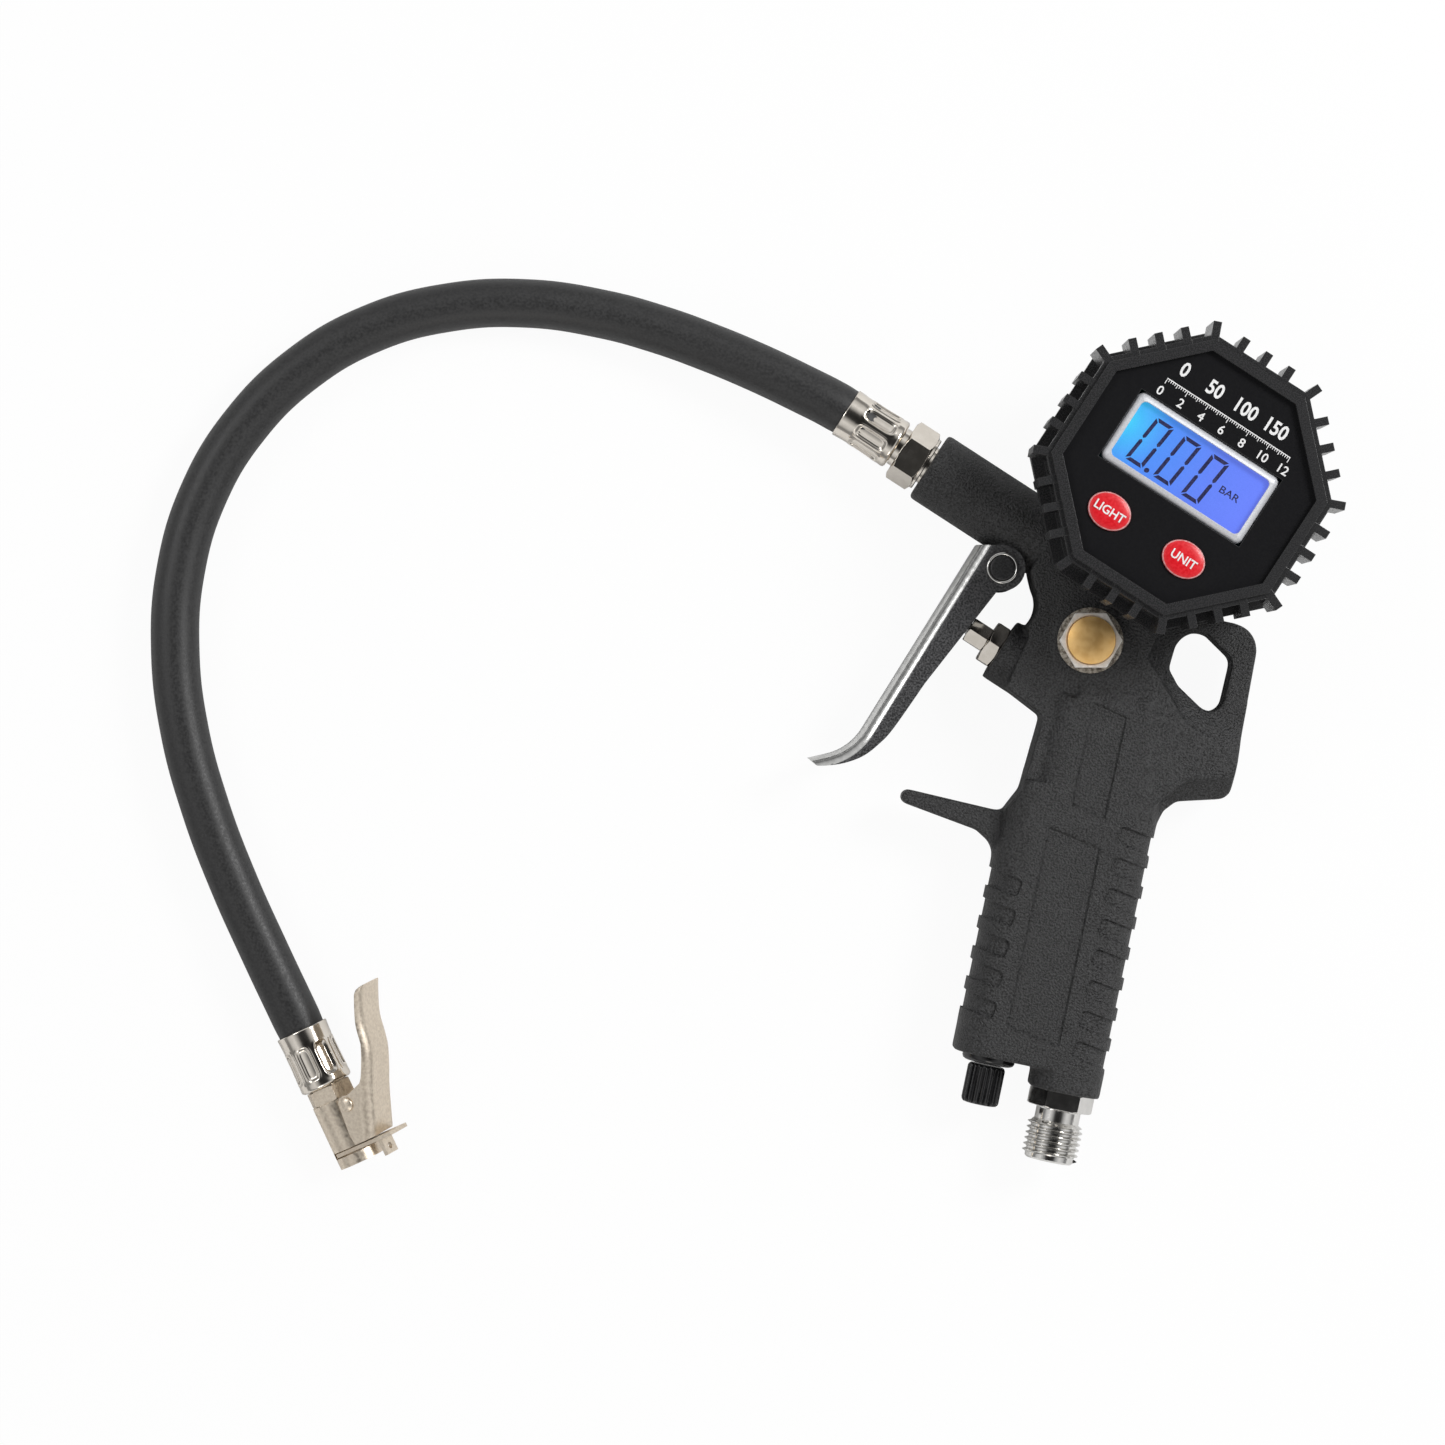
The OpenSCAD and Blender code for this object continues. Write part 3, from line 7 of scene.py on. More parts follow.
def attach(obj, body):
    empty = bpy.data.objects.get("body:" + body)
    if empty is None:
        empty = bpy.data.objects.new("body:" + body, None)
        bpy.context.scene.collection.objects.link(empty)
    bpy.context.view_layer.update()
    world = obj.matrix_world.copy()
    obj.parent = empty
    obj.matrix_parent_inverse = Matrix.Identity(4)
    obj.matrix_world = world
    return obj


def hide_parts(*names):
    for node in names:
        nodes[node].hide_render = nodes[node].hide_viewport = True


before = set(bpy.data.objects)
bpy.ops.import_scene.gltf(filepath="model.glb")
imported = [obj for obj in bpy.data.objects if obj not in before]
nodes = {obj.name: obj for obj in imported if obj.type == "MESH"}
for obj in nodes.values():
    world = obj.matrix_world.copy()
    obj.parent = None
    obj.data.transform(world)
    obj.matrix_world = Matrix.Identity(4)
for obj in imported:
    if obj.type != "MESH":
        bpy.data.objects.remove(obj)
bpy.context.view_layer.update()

mm = 0.001

# ------------------------------------------------------------------ finishes
# Each finish is a shader whose colour and roughness follow one shared grain; worn metal has
# rubbed patches laid over it. The finishes that several sections use are made here.


def new_node(tree, kind, values=None, **settings):
    """A new shader node, with these values in its inputs and these settings of its own."""
    node = tree.nodes.new("ShaderNode" + kind)
    for setting, value in settings.items():
        setattr(node, setting, value)
    for socket, value in (values or {}).items():
        node.inputs[socket].default_value = value
    return node


def wire(tree, *ways):
    """Links nodes; each way is a node, its output, the next node and its input."""
    for source, output, target, entry in ways:
        tree.links.new(source.outputs[output], target.inputs[entry])


def new_group(name, values, results):
    """A node group with these inputs and outputs, and the nodes at its two ends."""
    group = bpy.data.node_groups.new(name, "ShaderNodeTree")
    for socket, value in values.items():
        given = group.interface.new_socket(socket, in_out="INPUT", socket_type="NodeSocketFloat")
        given.default_value = value
    for socket in results:
        group.interface.new_socket(socket, in_out="OUTPUT", socket_type="NodeSocketFloat")
    return group, group.nodes.new("NodeGroupInput"), group.nodes.new("NodeGroupOutput")


def set_ramp(node, stops):
    """Puts these places and colours on the ramp of a node."""
    marks = node.color_ramp.elements
    marks[0].color = (*stops[0][1], 1)
    marks[1].color = (*stops[-1][1], 1)
    for place, colour in stops[1:-1]:
        marks.new(place).color = (*colour, 1)


def grain_group():
    """Even grain at two sizes, as a mask from 0 to 1 and as a height."""
    group, given, result = new_group("surface_grain", {"Grains per metre": 2000}, ["Mask", "Height"])
    place = new_node(group, "TexCoord")
    fine = new_node(group, "TexNoise", {"Detail": 2})
    coarse_size = new_node(group, "Math", {1: 0.13}, operation="MULTIPLY")
    coarse = new_node(group, "TexNoise", {"Detail": 2})
    both = new_node(group, "Mix", {"Factor": 0.12})
    spread = new_node(group, "MapRange", {"From Min": 0.38, "From Max": 0.62})
    wire(group, (place, "Object", fine, "Vector"), (given, "Grains per metre", fine, "Scale"),
         (given, "Grains per metre", coarse_size, 0), (coarse_size, 0, coarse, "Scale"),
         (place, "Object", coarse, "Vector"), (fine, "Fac", both, "A"), (coarse, "Fac", both, "B"),
         (both, "Result", spread, "Value"), (spread, "Result", result, "Mask"),
         (fine, "Fac", result, "Height"))
    return group


def worn_group():
    """Scratched and rubbed patches, as a mask from 0 to 1; the amount widens them."""
    group, given, result = new_group("rubbed_patches", {"Patches per metre": 500, "Amount": 0.5}, ["Mask"])
    place = new_node(group, "TexCoord")
    patches = new_node(group, "TexNoise", {"Detail": 6, "Roughness": 0.65, "Distortion": 0.6})
    lower = new_node(group, "Math", {0: 0.72}, operation="SUBTRACT")
    band = new_node(group, "Math", {1: 0.35}, operation="MULTIPLY")
    upper = new_node(group, "Math", {1: 0.16})
    spread = new_node(group, "MapRange")
    wire(group, (place, "Object", patches, "Vector"), (given, "Patches per metre", patches, "Scale"),
         (given, "Amount", band, 0), (band, 0, lower, 1), (lower, 0, upper, 0),
         (patches, "Fac", spread, "Value"), (lower, 0, spread, "From Min"), (upper, 0, spread, "From Max"),
         (spread, "Result", result, "Mask"))
    return group


surface_grain = grain_group()
rubbed_patches = worn_group()


def finish(name, dark, light, smooth, rough, metal=0.0, grains=2000, bump=0.0):
    """A finish whose colour and roughness go from one value to the other with its grain."""
    material = bpy.data.materials.new(name)
    material.use_nodes = True
    tree = material.node_tree
    shader = tree.nodes["Principled BSDF"]
    shader.inputs["Metallic"].default_value = metal
    grain = new_node(tree, "Group", {"Grains per metre": grains}, node_tree=surface_grain)
    colour = new_node(tree, "Mix", {"A": (*dark, 1), "B": (*light, 1)}, data_type="RGBA")
    gloss = new_node(tree, "MapRange", {"To Min": smooth, "To Max": rough})
    wire(tree, (grain, "Mask", colour, "Factor"), (colour, "Result", shader, "Base Color"),
         (grain, "Mask", gloss, "Value"), (gloss, "Result", shader, "Roughness"))
    if bump:
        relief = new_node(tree, "Bump", {"Distance": bump * mm})
        wire(tree, (grain, "Height", relief, "Height"), (relief, "Normal", shader, "Normal"))
    return material


def wear(material, tone, rough, patches, amount):
    """Lays rubbed patches of another tone and roughness over a finish."""
    tree = material.node_tree
    shader = tree.nodes["Principled BSDF"]
    worn = new_node(tree, "Group", {"Patches per metre": patches, "Amount": amount}, node_tree=rubbed_patches)
    colour = new_node(tree, "Mix", {"B": (*tone, 1)}, data_type="RGBA")
    gloss = new_node(tree, "Mix", {"B": rough})
    tree.links.new(shader.inputs["Base Color"].links[0].from_socket, colour.inputs["A"])
    tree.links.new(shader.inputs["Roughness"].links[0].from_socket, gloss.inputs["A"])
    wire(tree, (worn, "Mask", colour, "Factor"), (worn, "Mask", gloss, "Factor"),
         (colour, "Result", shader, "Base Color"), (gloss, "Result", shader, "Roughness"))


def fit(piece, body, slot, material, *replaced):
    """Gives a finished piece its finish and the body that carries it; the slot is not used."""
    piece.data.materials.clear()
    piece.data.materials.append(material)
    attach(piece, body)
    if replaced:
        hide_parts(*replaced)


def dress(material, *names):
    """Gives CAD solids that are shown as they are their finish."""
    for node in names:
        nodes[node].data.materials.clear()
        nodes[node].data.materials.append(material)


bright_steel = finish("bright_steel", (0.68, 0.67, 0.65), (0.74, 0.73, 0.71), 0.1, 0.16, 1.0, grains=500)
steel = finish("plain_steel", (0.42, 0.42, 0.42), (0.6, 0.6, 0.6), 0.25, 0.42, 1.0, grains=1500)
seal_black = finish("seal_black", (0.012, 0.012, 0.012), (0.022, 0.022, 0.022), 0.55, 0.7, grains=2500)
nickel = finish("nickel", (0.72, 0.67, 0.6), (0.78, 0.73, 0.66), 0.08, 0.13, 1.0, grains=400)
brass = finish("plain_brass", (0.55, 0.38, 0.15), (0.72, 0.52, 0.24), 0.25, 0.4, 1.0, grains=1500)

# ------------------------------------------------------------------ modelling steps
# Steps that the pieces below share. Sizes are in millimetres; a piece is made about the origin
# and then put in its place, and close_up ends the editing of a mesh that has just been drawn.
weld, flat_bend = 0.002 * mm, math.radians(0.6)
along_x = Matrix.Rotation(math.pi / 2, 4, "Y")
along_y = Matrix.Rotation(-math.pi / 2, 4, "X")


def shifted(place, x, y, z=0.0):
    """A place moved along its own axes."""
    return place @ Matrix.Translation(Vector((x, y, z)) * mm)


def added(name):
    """The object that was just added, under this name."""
    piece = bpy.context.object
    piece.name = name
    return piece


def only(*pieces):
    """Selects just these pieces, the first as the active one."""
    bpy.ops.object.select_all(action="DESELECT")
    for piece in pieces:
        piece.select_set(True)
    bpy.context.view_layer.objects.active = pieces[0]


def settle(piece):
    """Moves a piece's place and turn into its mesh."""
    only(piece)
    bpy.ops.object.transform_apply(location=True, rotation=True, scale=True)


def put(piece, place):
    """Brings a finished piece to its place."""
    piece.matrix_world = place
    settle(piece)


def joined(name, pieces):
    """Several pieces as one, under this name."""
    only(*pieces)
    bpy.ops.object.join()
    return added(name)


def modify(piece, kind, **values):
    """Adds a modifier with these values and applies it."""
    only(piece)
    modifier = piece.modifiers.new(kind.lower(), kind)
    for key, value in values.items():
        setattr(modifier, key, value)
    bpy.ops.object.modifier_apply(modifier=modifier.name)


def combine(piece, other, operation):
    """Cuts, joins or intersects a piece with another, which is used up."""
    modify(piece, "BOOLEAN", object=other, operation=operation, solver="MANIFOLD")
    bpy.data.objects.remove(other)


def soften(piece, width, segments, degrees):
    """Rounds the edges that bend by more than this angle."""
    modify(piece, "BEVEL", width=width * mm, segments=segments, limit_method="ANGLE",
           angle_limit=math.radians(degrees))


def shade(piece, degrees):
    """Shades the bends of a piece round, up to this angle."""
    only(piece)
    bpy.ops.object.shade_smooth_by_angle(angle=math.radians(degrees))


def smooth(piece, degrees=32):
    """Shades the bends of a piece round and leaves its large faces flat."""
    shade(piece, degrees)
    modify(piece, "WEIGHTED_NORMAL", keep_sharp=True)


def bevel_selected(piece, width, segments, **options):
    """Bevels the edges that are selected in a piece."""
    only(piece)
    bpy.ops.object.mode_set(mode="EDIT")
    bpy.ops.mesh.select_mode(type="EDGE")
    bpy.ops.mesh.bevel(offset=width * mm, segments=segments, affect="EDGES", **options)
    bpy.ops.object.mode_set(mode="OBJECT")


def copy_of(node, name):
    """The CAD solid's shape as a new piece, its triangles merged into flat faces."""
    piece = bpy.data.objects.new(name, nodes[node].data.copy())
    bpy.context.scene.collection.objects.link(piece)
    only(piece)
    bpy.ops.object.mode_set(mode="EDIT")
    bpy.ops.mesh.select_all(action="SELECT")
    bpy.ops.mesh.remove_doubles(threshold=2 * weld)
    bpy.ops.mesh.dissolve_limited(angle_limit=flat_bend)
    bpy.ops.mesh.normals_make_consistent(inside=False)
    bpy.ops.object.mode_set(mode="OBJECT")
    return piece


def close_up():
    """Closes what is open in the mesh being edited, and turns its faces outwards."""
    bpy.ops.mesh.select_all(action="SELECT")
    bpy.ops.mesh.remove_doubles(threshold=weld)
    bpy.ops.mesh.fill_holes(sides=0)
    bpy.ops.mesh.select_all(action="SELECT")
    bpy.ops.mesh.normals_make_consistent(inside=False)
    bpy.ops.object.mode_set(mode="OBJECT")


def block(name, size, centre, edge=0.0, axis=None, rounds=6):
    """A box whose edges along this axis, or all of them, are rounded by edge."""
    bpy.ops.mesh.primitive_cube_add(size=1)
    piece = added(name)
    bpy.ops.object.mode_set(mode="EDIT")
    bpy.ops.transform.resize(value=[side * mm for side in size], center_override=(0, 0, 0))
    bpy.ops.object.mode_set(mode="OBJECT")
    if edge:
        for e in piece.data.edges:
            way = piece.data.vertices[e.vertices[0]].co - piece.data.vertices[e.vertices[1]].co
            e.select = axis is None or abs(way.normalized()[axis]) > 0.9
        bevel_selected(piece, edge, rounds)
    piece.location = Vector(centre) * mm
    settle(piece)
    return piece


def outline(name, points, low, high):
    """A solid with this outline, from low to high along Z."""
    bpy.ops.mesh.primitive_circle_add(vertices=len(points), radius=1, fill_type="NGON")
    piece = added(name)
    for vertex, point in zip(piece.data.vertices, points):
        vertex.co = Vector((point[0], point[1], low)) * mm
    bpy.ops.object.mode_set(mode="EDIT")
    bpy.ops.mesh.select_all(action="SELECT")
    bpy.ops.mesh.extrude_region_move(TRANSFORM_OT_translate={"value": (0, 0, (high - low) * mm)})
    close_up()
    return piece


def turned(name, profile, sides=72):
    """A solid turned about Z; the profile is a list of radius and height."""
    radius, height = profile[0]
    bpy.ops.mesh.primitive_circle_add(vertices=sides, radius=radius * mm, fill_type="NGON",
                                      location=(0, 0, height * mm))
    piece = added(name)
    settle(piece)
    bpy.ops.object.mode_set(mode="EDIT")
    bpy.ops.mesh.select_mode(type="FACE")
    bpy.ops.mesh.select_all(action="SELECT")
    for new_radius, new_height in profile[1:]:
        up = (new_height - height) * mm
        bpy.ops.mesh.extrude_region_move(TRANSFORM_OT_translate={"value": (0, 0, up)})
        wider = new_radius / radius
        bpy.ops.transform.resize(value=(wider, wider, 1), center_override=(0, 0, new_height * mm))
        radius, height = new_radius, new_height
    close_up()
    return piece


def nut(name, across_flats, low, high, chamfer=0.5, turn=0):
    """A hexagon along Z whose corners are turned off on both faces, turned by so many degrees."""
    corner = across_flats / 2 / math.cos(math.pi / 6)
    piece = turned(name, [(corner, low), (corner, high)], 6)
    piece.rotation_euler = (0, 0, math.radians(turn + 30))
    settle(piece)
    chamfer_slope, clear = 0.55, 0.05
    drop = chamfer * chamfer_slope
    limit = [(corner - chamfer, low), (corner + clear, low + drop),
             (corner + clear, high - drop), (corner - chamfer, high)]
    combine(piece, turned("limit", limit), "INTERSECT")
    soften(piece, 0.18, 2, 28)
    return piece


def arc(x, y, radius, angles):
    """Points on a circle about this centre, at these angles in degrees."""
    turns = [math.radians(angle) for angle in angles]
    return [(x + radius * math.cos(turn), y + radius * math.sin(turn)) for turn in turns]


def eased(points, steps=5):
    """A Catmull-Rom curve through these points, in short straight steps."""
    ends = [points[0]] + points + [points[-1]]
    curve = []
    for a, b, c, d in zip(ends, ends[1:], ends[2:], ends[3:]):
        for i in range(steps):
            t = i / steps
            curve.append(tuple(b[k] + 0.5 * t * (c[k] - a[k] + t * (2 * a[k] - 5 * b[k] + 4 * c[k] - d[k]
                               + t * (3 * b[k] - a[k] - 3 * c[k] + d[k]))) for k in (0, 1)))
    return curve + [points[-1]]


# ------------------------------------------------------------------ table, light and camera
# A white table under even studio light: a large soft box beside the gauge, two weaker ones
# further round, and a pale room that is dark straight above, for the metal to show.
table_z = -11.6 * mm
table_tone, table_glow = 0.86, 0.94
part_middle = (-90 * mm, 90 * mm, 0)
bpy.context.scene.view_settings.view_transform = "Standard"
camera_place = (-100 * mm, 88.8 * mm, 1.2)
camera_roll = math.radians(11.77)
bpy.ops.object.camera_add(location=camera_place, rotation=(0, 0, camera_roll))
camera = bpy.context.object
camera.data.sensor_width = 36
camera.data.lens = 122
camera.data.clip_start = 0.01
bpy.context.scene.camera = camera


def soft_box(name, place, size, watts, tint=(1, 1, 1)):
    """A round studio light that faces the middle of the part."""
    aim = Vector(part_middle) - Vector(place)
    turn = aim.to_track_quat("-Z", "Y").to_euler()
    bpy.ops.object.light_add(type="AREA", location=place, rotation=turn)
    lamp = added(name)
    lamp.data.shape = "DISK"
    lamp.data.size = size
    lamp.data.energy = watts
    lamp.data.color = tint


soft_box("key_box", (0.6, 0.65, 0.8), 0.45, 8.5)
soft_box("left_box", (-0.85, 0.25, 0.7), 0.4, 1.6)
soft_box("low_box", (0.0, -0.8, 0.55), 0.4, 1.0, (1, 0.95, 0.88))

world = bpy.data.worlds.new("studio")
bpy.context.scene.world = world
world.use_nodes = True
tree = world.node_tree
tree.nodes.clear()
room = new_node(tree, "TexCoord")
height = new_node(tree, "SeparateXYZ")
room_tone = new_node(tree, "ValToRGB")
room_tones = [(0.0, 0.34), (0.22, 0.22), (0.42, 0.62), (0.72, 0.82), (0.88, 0.4), (0.955, 0.05), (1.0, 0.02)]
set_ramp(room_tone, [(rise, (tone, tone, tone)) for rise, tone in room_tones])
room_light = new_node(tree, "Background")
backdrop = new_node(tree, "Background", {"Color": (1, 1, 1, 1)})
rays = new_node(tree, "LightPath")
seen = new_node(tree, "Math", operation="MAXIMUM")
choice = new_node(tree, "MixShader")
out = new_node(tree, "OutputWorld")
wire(tree, (room, "Generated", height, 0), (height, "Z", room_tone, "Fac"),
     (room_tone, "Color", room_light, "Color"), (rays, "Is Camera Ray", seen, 0),
     (rays, "Is Transmission Ray", seen, 1), (seen, 0, choice, "Fac"), (room_light, 0, choice, 1),
     (backdrop, 0, choice, 2), (choice, 0, out, "Surface"))

bpy.ops.mesh.primitive_plane_add(size=6, location=(-0.1, 0.09, table_z))
table = added("table")
white = bpy.data.materials.new("table_white")
white.use_nodes = True
tree = white.node_tree
tree.nodes.clear()
matt = new_node(tree, "BsdfDiffuse", {"Color": (table_tone, table_tone, table_tone, 1)})
bright = new_node(tree, "Emission")
rays = new_node(tree, "LightPath")
share = new_node(tree, "Math", {1: table_glow}, operation="MULTIPLY")
choice = new_node(tree, "MixShader")
out = new_node(tree, "OutputMaterial")
wire(tree, (rays, "Is Camera Ray", share, 0), (share, 0, choice, "Fac"), (matt, 0, choice, 1),
     (bright, 0, choice, 2), (choice, 0, out, "Surface"))
table.data.materials.append(white)

# ------------------------------------------------------------------ hose
# The whip hose: smooth black rubber, 12 mm outside, crimped into a ferrule at each end.
# It leaves the barrel straight, and lies down on the table in one wide bend to the chuck.
hose_d = 12 * mm
gripped_share = 0.84
hose_route = [
    (-73.22, 164.46, 0), (-87.77, 170.10, 0), (-98, 173, -0.8), (-110, 176, -2.3), (-122, 178.4, -3.8),
    (-135, 180.3, -4.9), (-149, 181.2, -5.5), (-168, 180, -5.5), (-187, 175, -5.5), (-204.5, 166, -5.5),
    (-219, 153, -5.5), (-230, 136.5, -5.5), (-236.5, 118, -5.5), (-238.2, 98, -5.5), (-235.5, 78.7, -5.5),
    (-229.3, 60, -5.5), (-220.4, 42.4, -5.5), (-210, 26, -5.5), (-198.5, 10.2, -5.3), (-187.8, -3.9, -4.9),
    (-177.85, -17.19, -4.8),
]
bpy.ops.curve.primitive_bezier_curve_add()
hose = added("hose_rubber_tube")
line = hose.data.splines[0]
line.bezier_points.add(len(hose_route) - 2)
for knot, place in zip(line.bezier_points, hose_route):
    knot.co = Vector(place) * mm
    knot.handle_left_type = "AUTO"
    knot.handle_right_type = "AUTO"
for knot in (line.bezier_points[0], line.bezier_points[-1]):
    knot.radius = gripped_share
hose.data.dimensions = "3D"
hose.data.resolution_u = 12
hose.data.bevel_depth = hose_d / 2
hose.data.bevel_resolution = 10
hose.data.use_fill_caps = True
hose_rubber = finish("hose_rubber", (0.015, 0.015, 0.0155), (0.027, 0.027, 0.0275),
                     0.42, 0.55, grains=1700, bump=0.03)
fit(hose, "pistol", "hose_rubber", hose_rubber, "hose")

# ------------------------------------------------------------------ pistol body
# One die casting in aluminium: handle, spur, head, barrel and hanging loop in one piece.
# Its edges and corners are round from the die, and it is powder coated in a fine black grain.
voxel = 0.5 * mm
edge_soften_rounds = 12
body_faces = 150000
knob_seat_y, grip_top_y, handle_top_y = 22.2, 81.8, 112.3
palm_x, handle_w, handle_t, handle_r, waist = 8.8, 37.4, 23, 7.5, 4.5
groove_depth, groove_slope, groove_pitch, groove_h, groove_r = 0.6, 10, 7.6, 4.5, 1.2
panel_depth, past_face = 0.5, 14
waist_fill_low, waist_fill_high, fill_lap, proud = 81.3, 90.5, 8, 0.12
head_tilt = math.radians(-21.2)
head = Matrix.Translation((-62.5 * mm, 160.3 * mm, 0)) @ Matrix.Rotation(head_tilt, 4, "Z")


def in_head(u, v):
    """A place in the head: u runs back from the barrel's mouth, and v across its axis."""
    return shifted(head, u, v)


def filler(*corners):
    """A web on both sides of the middle; each corner is x, y and half its thickness."""
    piece = outline("filler", [corner[:2] for corner in corners], -1, 1)
    for vertex in piece.data.vertices:
        near = min(corners, key=lambda corner: (Vector(corner[:2]) - vertex.co.xy / mm).length)
        vertex.co.z = math.copysign(near[2] * mm, vertex.co.z)
    return piece


body = copy_of("body", "pistol_body")
grip_mid_x = palm_x - handle_w / 2
neck_w = handle_w - waist
neck_mid_x = palm_x - neck_w / 2
fill_t = handle_t + proud
fill_low = block("fill_low", (handle_w + proud, grip_top_y - knob_seat_y, fill_t),
                 (grip_mid_x, (grip_top_y + knob_seat_y) / 2, 0), handle_r, 1)
fill_high = block("fill_high", (neck_w + proud, handle_top_y - grip_top_y + fill_lap, fill_t),
                  (neck_mid_x, (handle_top_y + grip_top_y - fill_lap) / 2, 0), handle_r, 1)
fill_waist = block("fill_waist", (handle_w + proud, waist_fill_high - waist_fill_low, fill_t),
                   (grip_mid_x, (waist_fill_low + waist_fill_high) / 2, 0), handle_r, 1)
for vertex in fill_waist.data.vertices:
    if vertex.co.y > grip_top_y * mm:
        vertex.co.x = palm_x * mm + (vertex.co.x - palm_x * mm) * neck_w / handle_w
fill_web = filler((-6, 84, 11.45), (2.5, 84, 10.8), (9, 93, 10.3), (13, 97.5, 10), (21, 99.8, 9.4),
                  (24.2, 101, 9.1), (24.4, 105.4, 9.1), (9.6, 112, 10.2), (-6, 112, 11.45))
fill_shoulder = filler((-2, 107, 11.45), (7.5, 107, 10.5), (9.4, 112.3, 10.2), (6, 116.8, 9.6),
                       (-2, 117.3, 9.5))
for part in (fill_low, fill_high, fill_waist, fill_web, fill_shoulder):
    combine(body, part, "UNION")
modify(body, "REMESH", mode="VOXEL", voxel_size=voxel)
modify(body, "SMOOTH", factor=0.5, iterations=edge_soften_rounds)
modify(body, "DECIMATE", ratio=min(1.0, body_faces / (2 * len(body.data.polygons))))


def drafted(cut, low):
    """Slopes the walls of a cutter in towards its end at this height."""
    for e in cut.data.edges:
        e.select = all(abs(cut.data.vertices[i].co.z - low * mm) < 0.01 * mm for i in e.vertices)
    bevel_selected(cut, panel_depth, 1)
    return cut


groove_rows = ((palm_x - handle_w, 34.9, 7.8, 5), (palm_x, 27.1, 9.4, 8))
through, core_l, core_mid_y = 60, 120, 70
cuts = []
for x_edge, low_y, reach, count in groove_rows:
    for i in range(count):
        cut = block("groove_cut", (2 * reach, groove_h, through), (0, 0, 0), groove_r, 2, 4)
        cut.rotation_euler = (0, 0, -math.radians(groove_slope))
        cut.location = Vector((x_edge, low_y + groove_pitch * i, 0)) * mm
        settle(cut)
        cuts.append(cut)
grooves = joined("grooves", cuts)
inner = block("inner", (handle_w - 2 * groove_depth, core_l, handle_t - 2 * groove_depth),
              (grip_mid_x, core_mid_y, 0), handle_r - groove_depth, 1, 10)
combine(grooves, inner, "DIFFERENCE")
soften(grooves, 0.5, 1, 60)
combine(body, grooves, "DIFFERENCE")
panels = (
    [(-17.5, 30.6), (-3.9, 28), (-3.8, 77.7), (-17.4, 80.4)],
    [(-13.1, 86.5), (-4.2, 84.6), (-4, 110.2), (-13.1, 112.2)],
)
face_in = handle_t / 2 - panel_depth
for shape in panels:
    combine(body, drafted(outline("panel_cut", shape, face_in, past_face), face_in), "DIFFERENCE")
    combine(body, drafted(outline("panel_cut", shape, -past_face, -face_in), -face_in), "DIFFERENCE")
shade(body, 32)
body_black = finish("body_black", (0.0005, 0.0005, 0.0005), (0.04, 0.04, 0.0412),
                    0.42, 0.62, grains=2000, bump=0.5)
fit(body, "pistol", "body_paint", body_black, "body")

# ------------------------------------------------------------------ air inlet
# The nickel plated steel nipple that takes the air line: a cut thread, a plain neck and a
# hexagon, screwed into the foot of the handle, with a small sintered screen behind it.
thread_r, root_r, pitch, thread_turns, thread_low = 6.85, 6.0, 1.41, 6, 1.0
neck_r, hex_af, hex_low, hex_high, shank_r, bore_r = 5.5, 14, 13, 17.4, 6.55, 3.7
inlet = turned("inlet_nipple", [
    (bore_r, 15), (bore_r, 0.9), (4.3, 0.25), (4.7, 0), (5.5, 0), (6.0, 0.45), (root_r, 9.4), (neck_r, 9.9),
    (neck_r, 12.6), (neck_r + 0.3, 13), (6.3, 13.02), (6.3, 17.0), (shank_r, 17.2), (shank_r, 27.8)])
combine(inlet, nut("inlet_hexagon", hex_af, hex_low, hex_high, 0.6), "UNION")
bpy.ops.mesh.primitive_plane_add(size=1)
thread = added("inlet_thread")
tooth_foot_r = root_r - 0.35
tooth = [(tooth_foot_r, -0.66), (tooth_foot_r, 0.66), (thread_r, -0.1), (thread_r, 0.1)]
for vertex, (radius, height) in zip(thread.data.vertices, tooth):
    vertex.co = (radius * mm, 0, height * mm)
bpy.ops.object.mode_set(mode="EDIT")
bpy.ops.mesh.select_all(action="SELECT")
bpy.ops.mesh.delete(type="ONLY_FACE")
bpy.ops.object.mode_set(mode="OBJECT")
modify(thread, "SCREW", angle=2 * math.pi, steps=72, render_steps=72, iterations=thread_turns,
       screw_offset=pitch * mm, use_normal_calculate=True)
thread.location = (0, 0, thread_low * mm)
settle(thread)
bpy.ops.object.mode_set(mode="EDIT")
close_up()
thread_limit = turned("thread_limit", [
    (6.3, 0.3), (thread_r + 0.05, 0.95), (thread_r + 0.05, 8.9), (6.2, 9.5)])
combine(thread, thread_limit, "INTERSECT")
combine(inlet, thread, "UNION")
put(inlet, along_y)
smooth(inlet, 30)
fit(inlet, "pistol", "bright_steel", bright_steel, "inlet_fitting")
dress(steel, "inlet_screen")

# ------------------------------------------------------------------ flow knob
# A black plastic knob with moulded flutes under a round flange; it screws the steel needle
# in and out of its seat, through a gland and a rubber ring in the handle.
knob_x, knob_r, knob_low, knob_high = -19.4, 4.65, 10.1, 19.9
flutes, flute_depth, flute_round, fluted_from_r = 18, 0.585, 0.6, 4.4
gland_r = 6.5
knob_place = Matrix.Translation((knob_x * mm, 0, 0)) @ along_y
knob = turned("flow_knob_fluted", [
    (1.2, knob_low + 0.15), (3.4, knob_low), (4.1, knob_low + 0.15), (4.5, knob_low + 0.55),
    (knob_r, knob_low + 1.1), (knob_r, knob_high - 0.8), (4.4, knob_high - 0.3), (4.0, knob_high)], 144)
for vertex in knob.data.vertices:
    radius = math.hypot(vertex.co.x, vertex.co.y)
    if radius > fluted_from_r * mm:
        wave = 0.5 - 0.5 * math.cos(flutes * math.atan2(vertex.co.y, vertex.co.x))
        sink = flute_depth * (1 - wave ** flute_round) * mm
        vertex.co.x *= 1 - sink / radius
        vertex.co.y *= 1 - sink / radius
put(knob, knob_place)
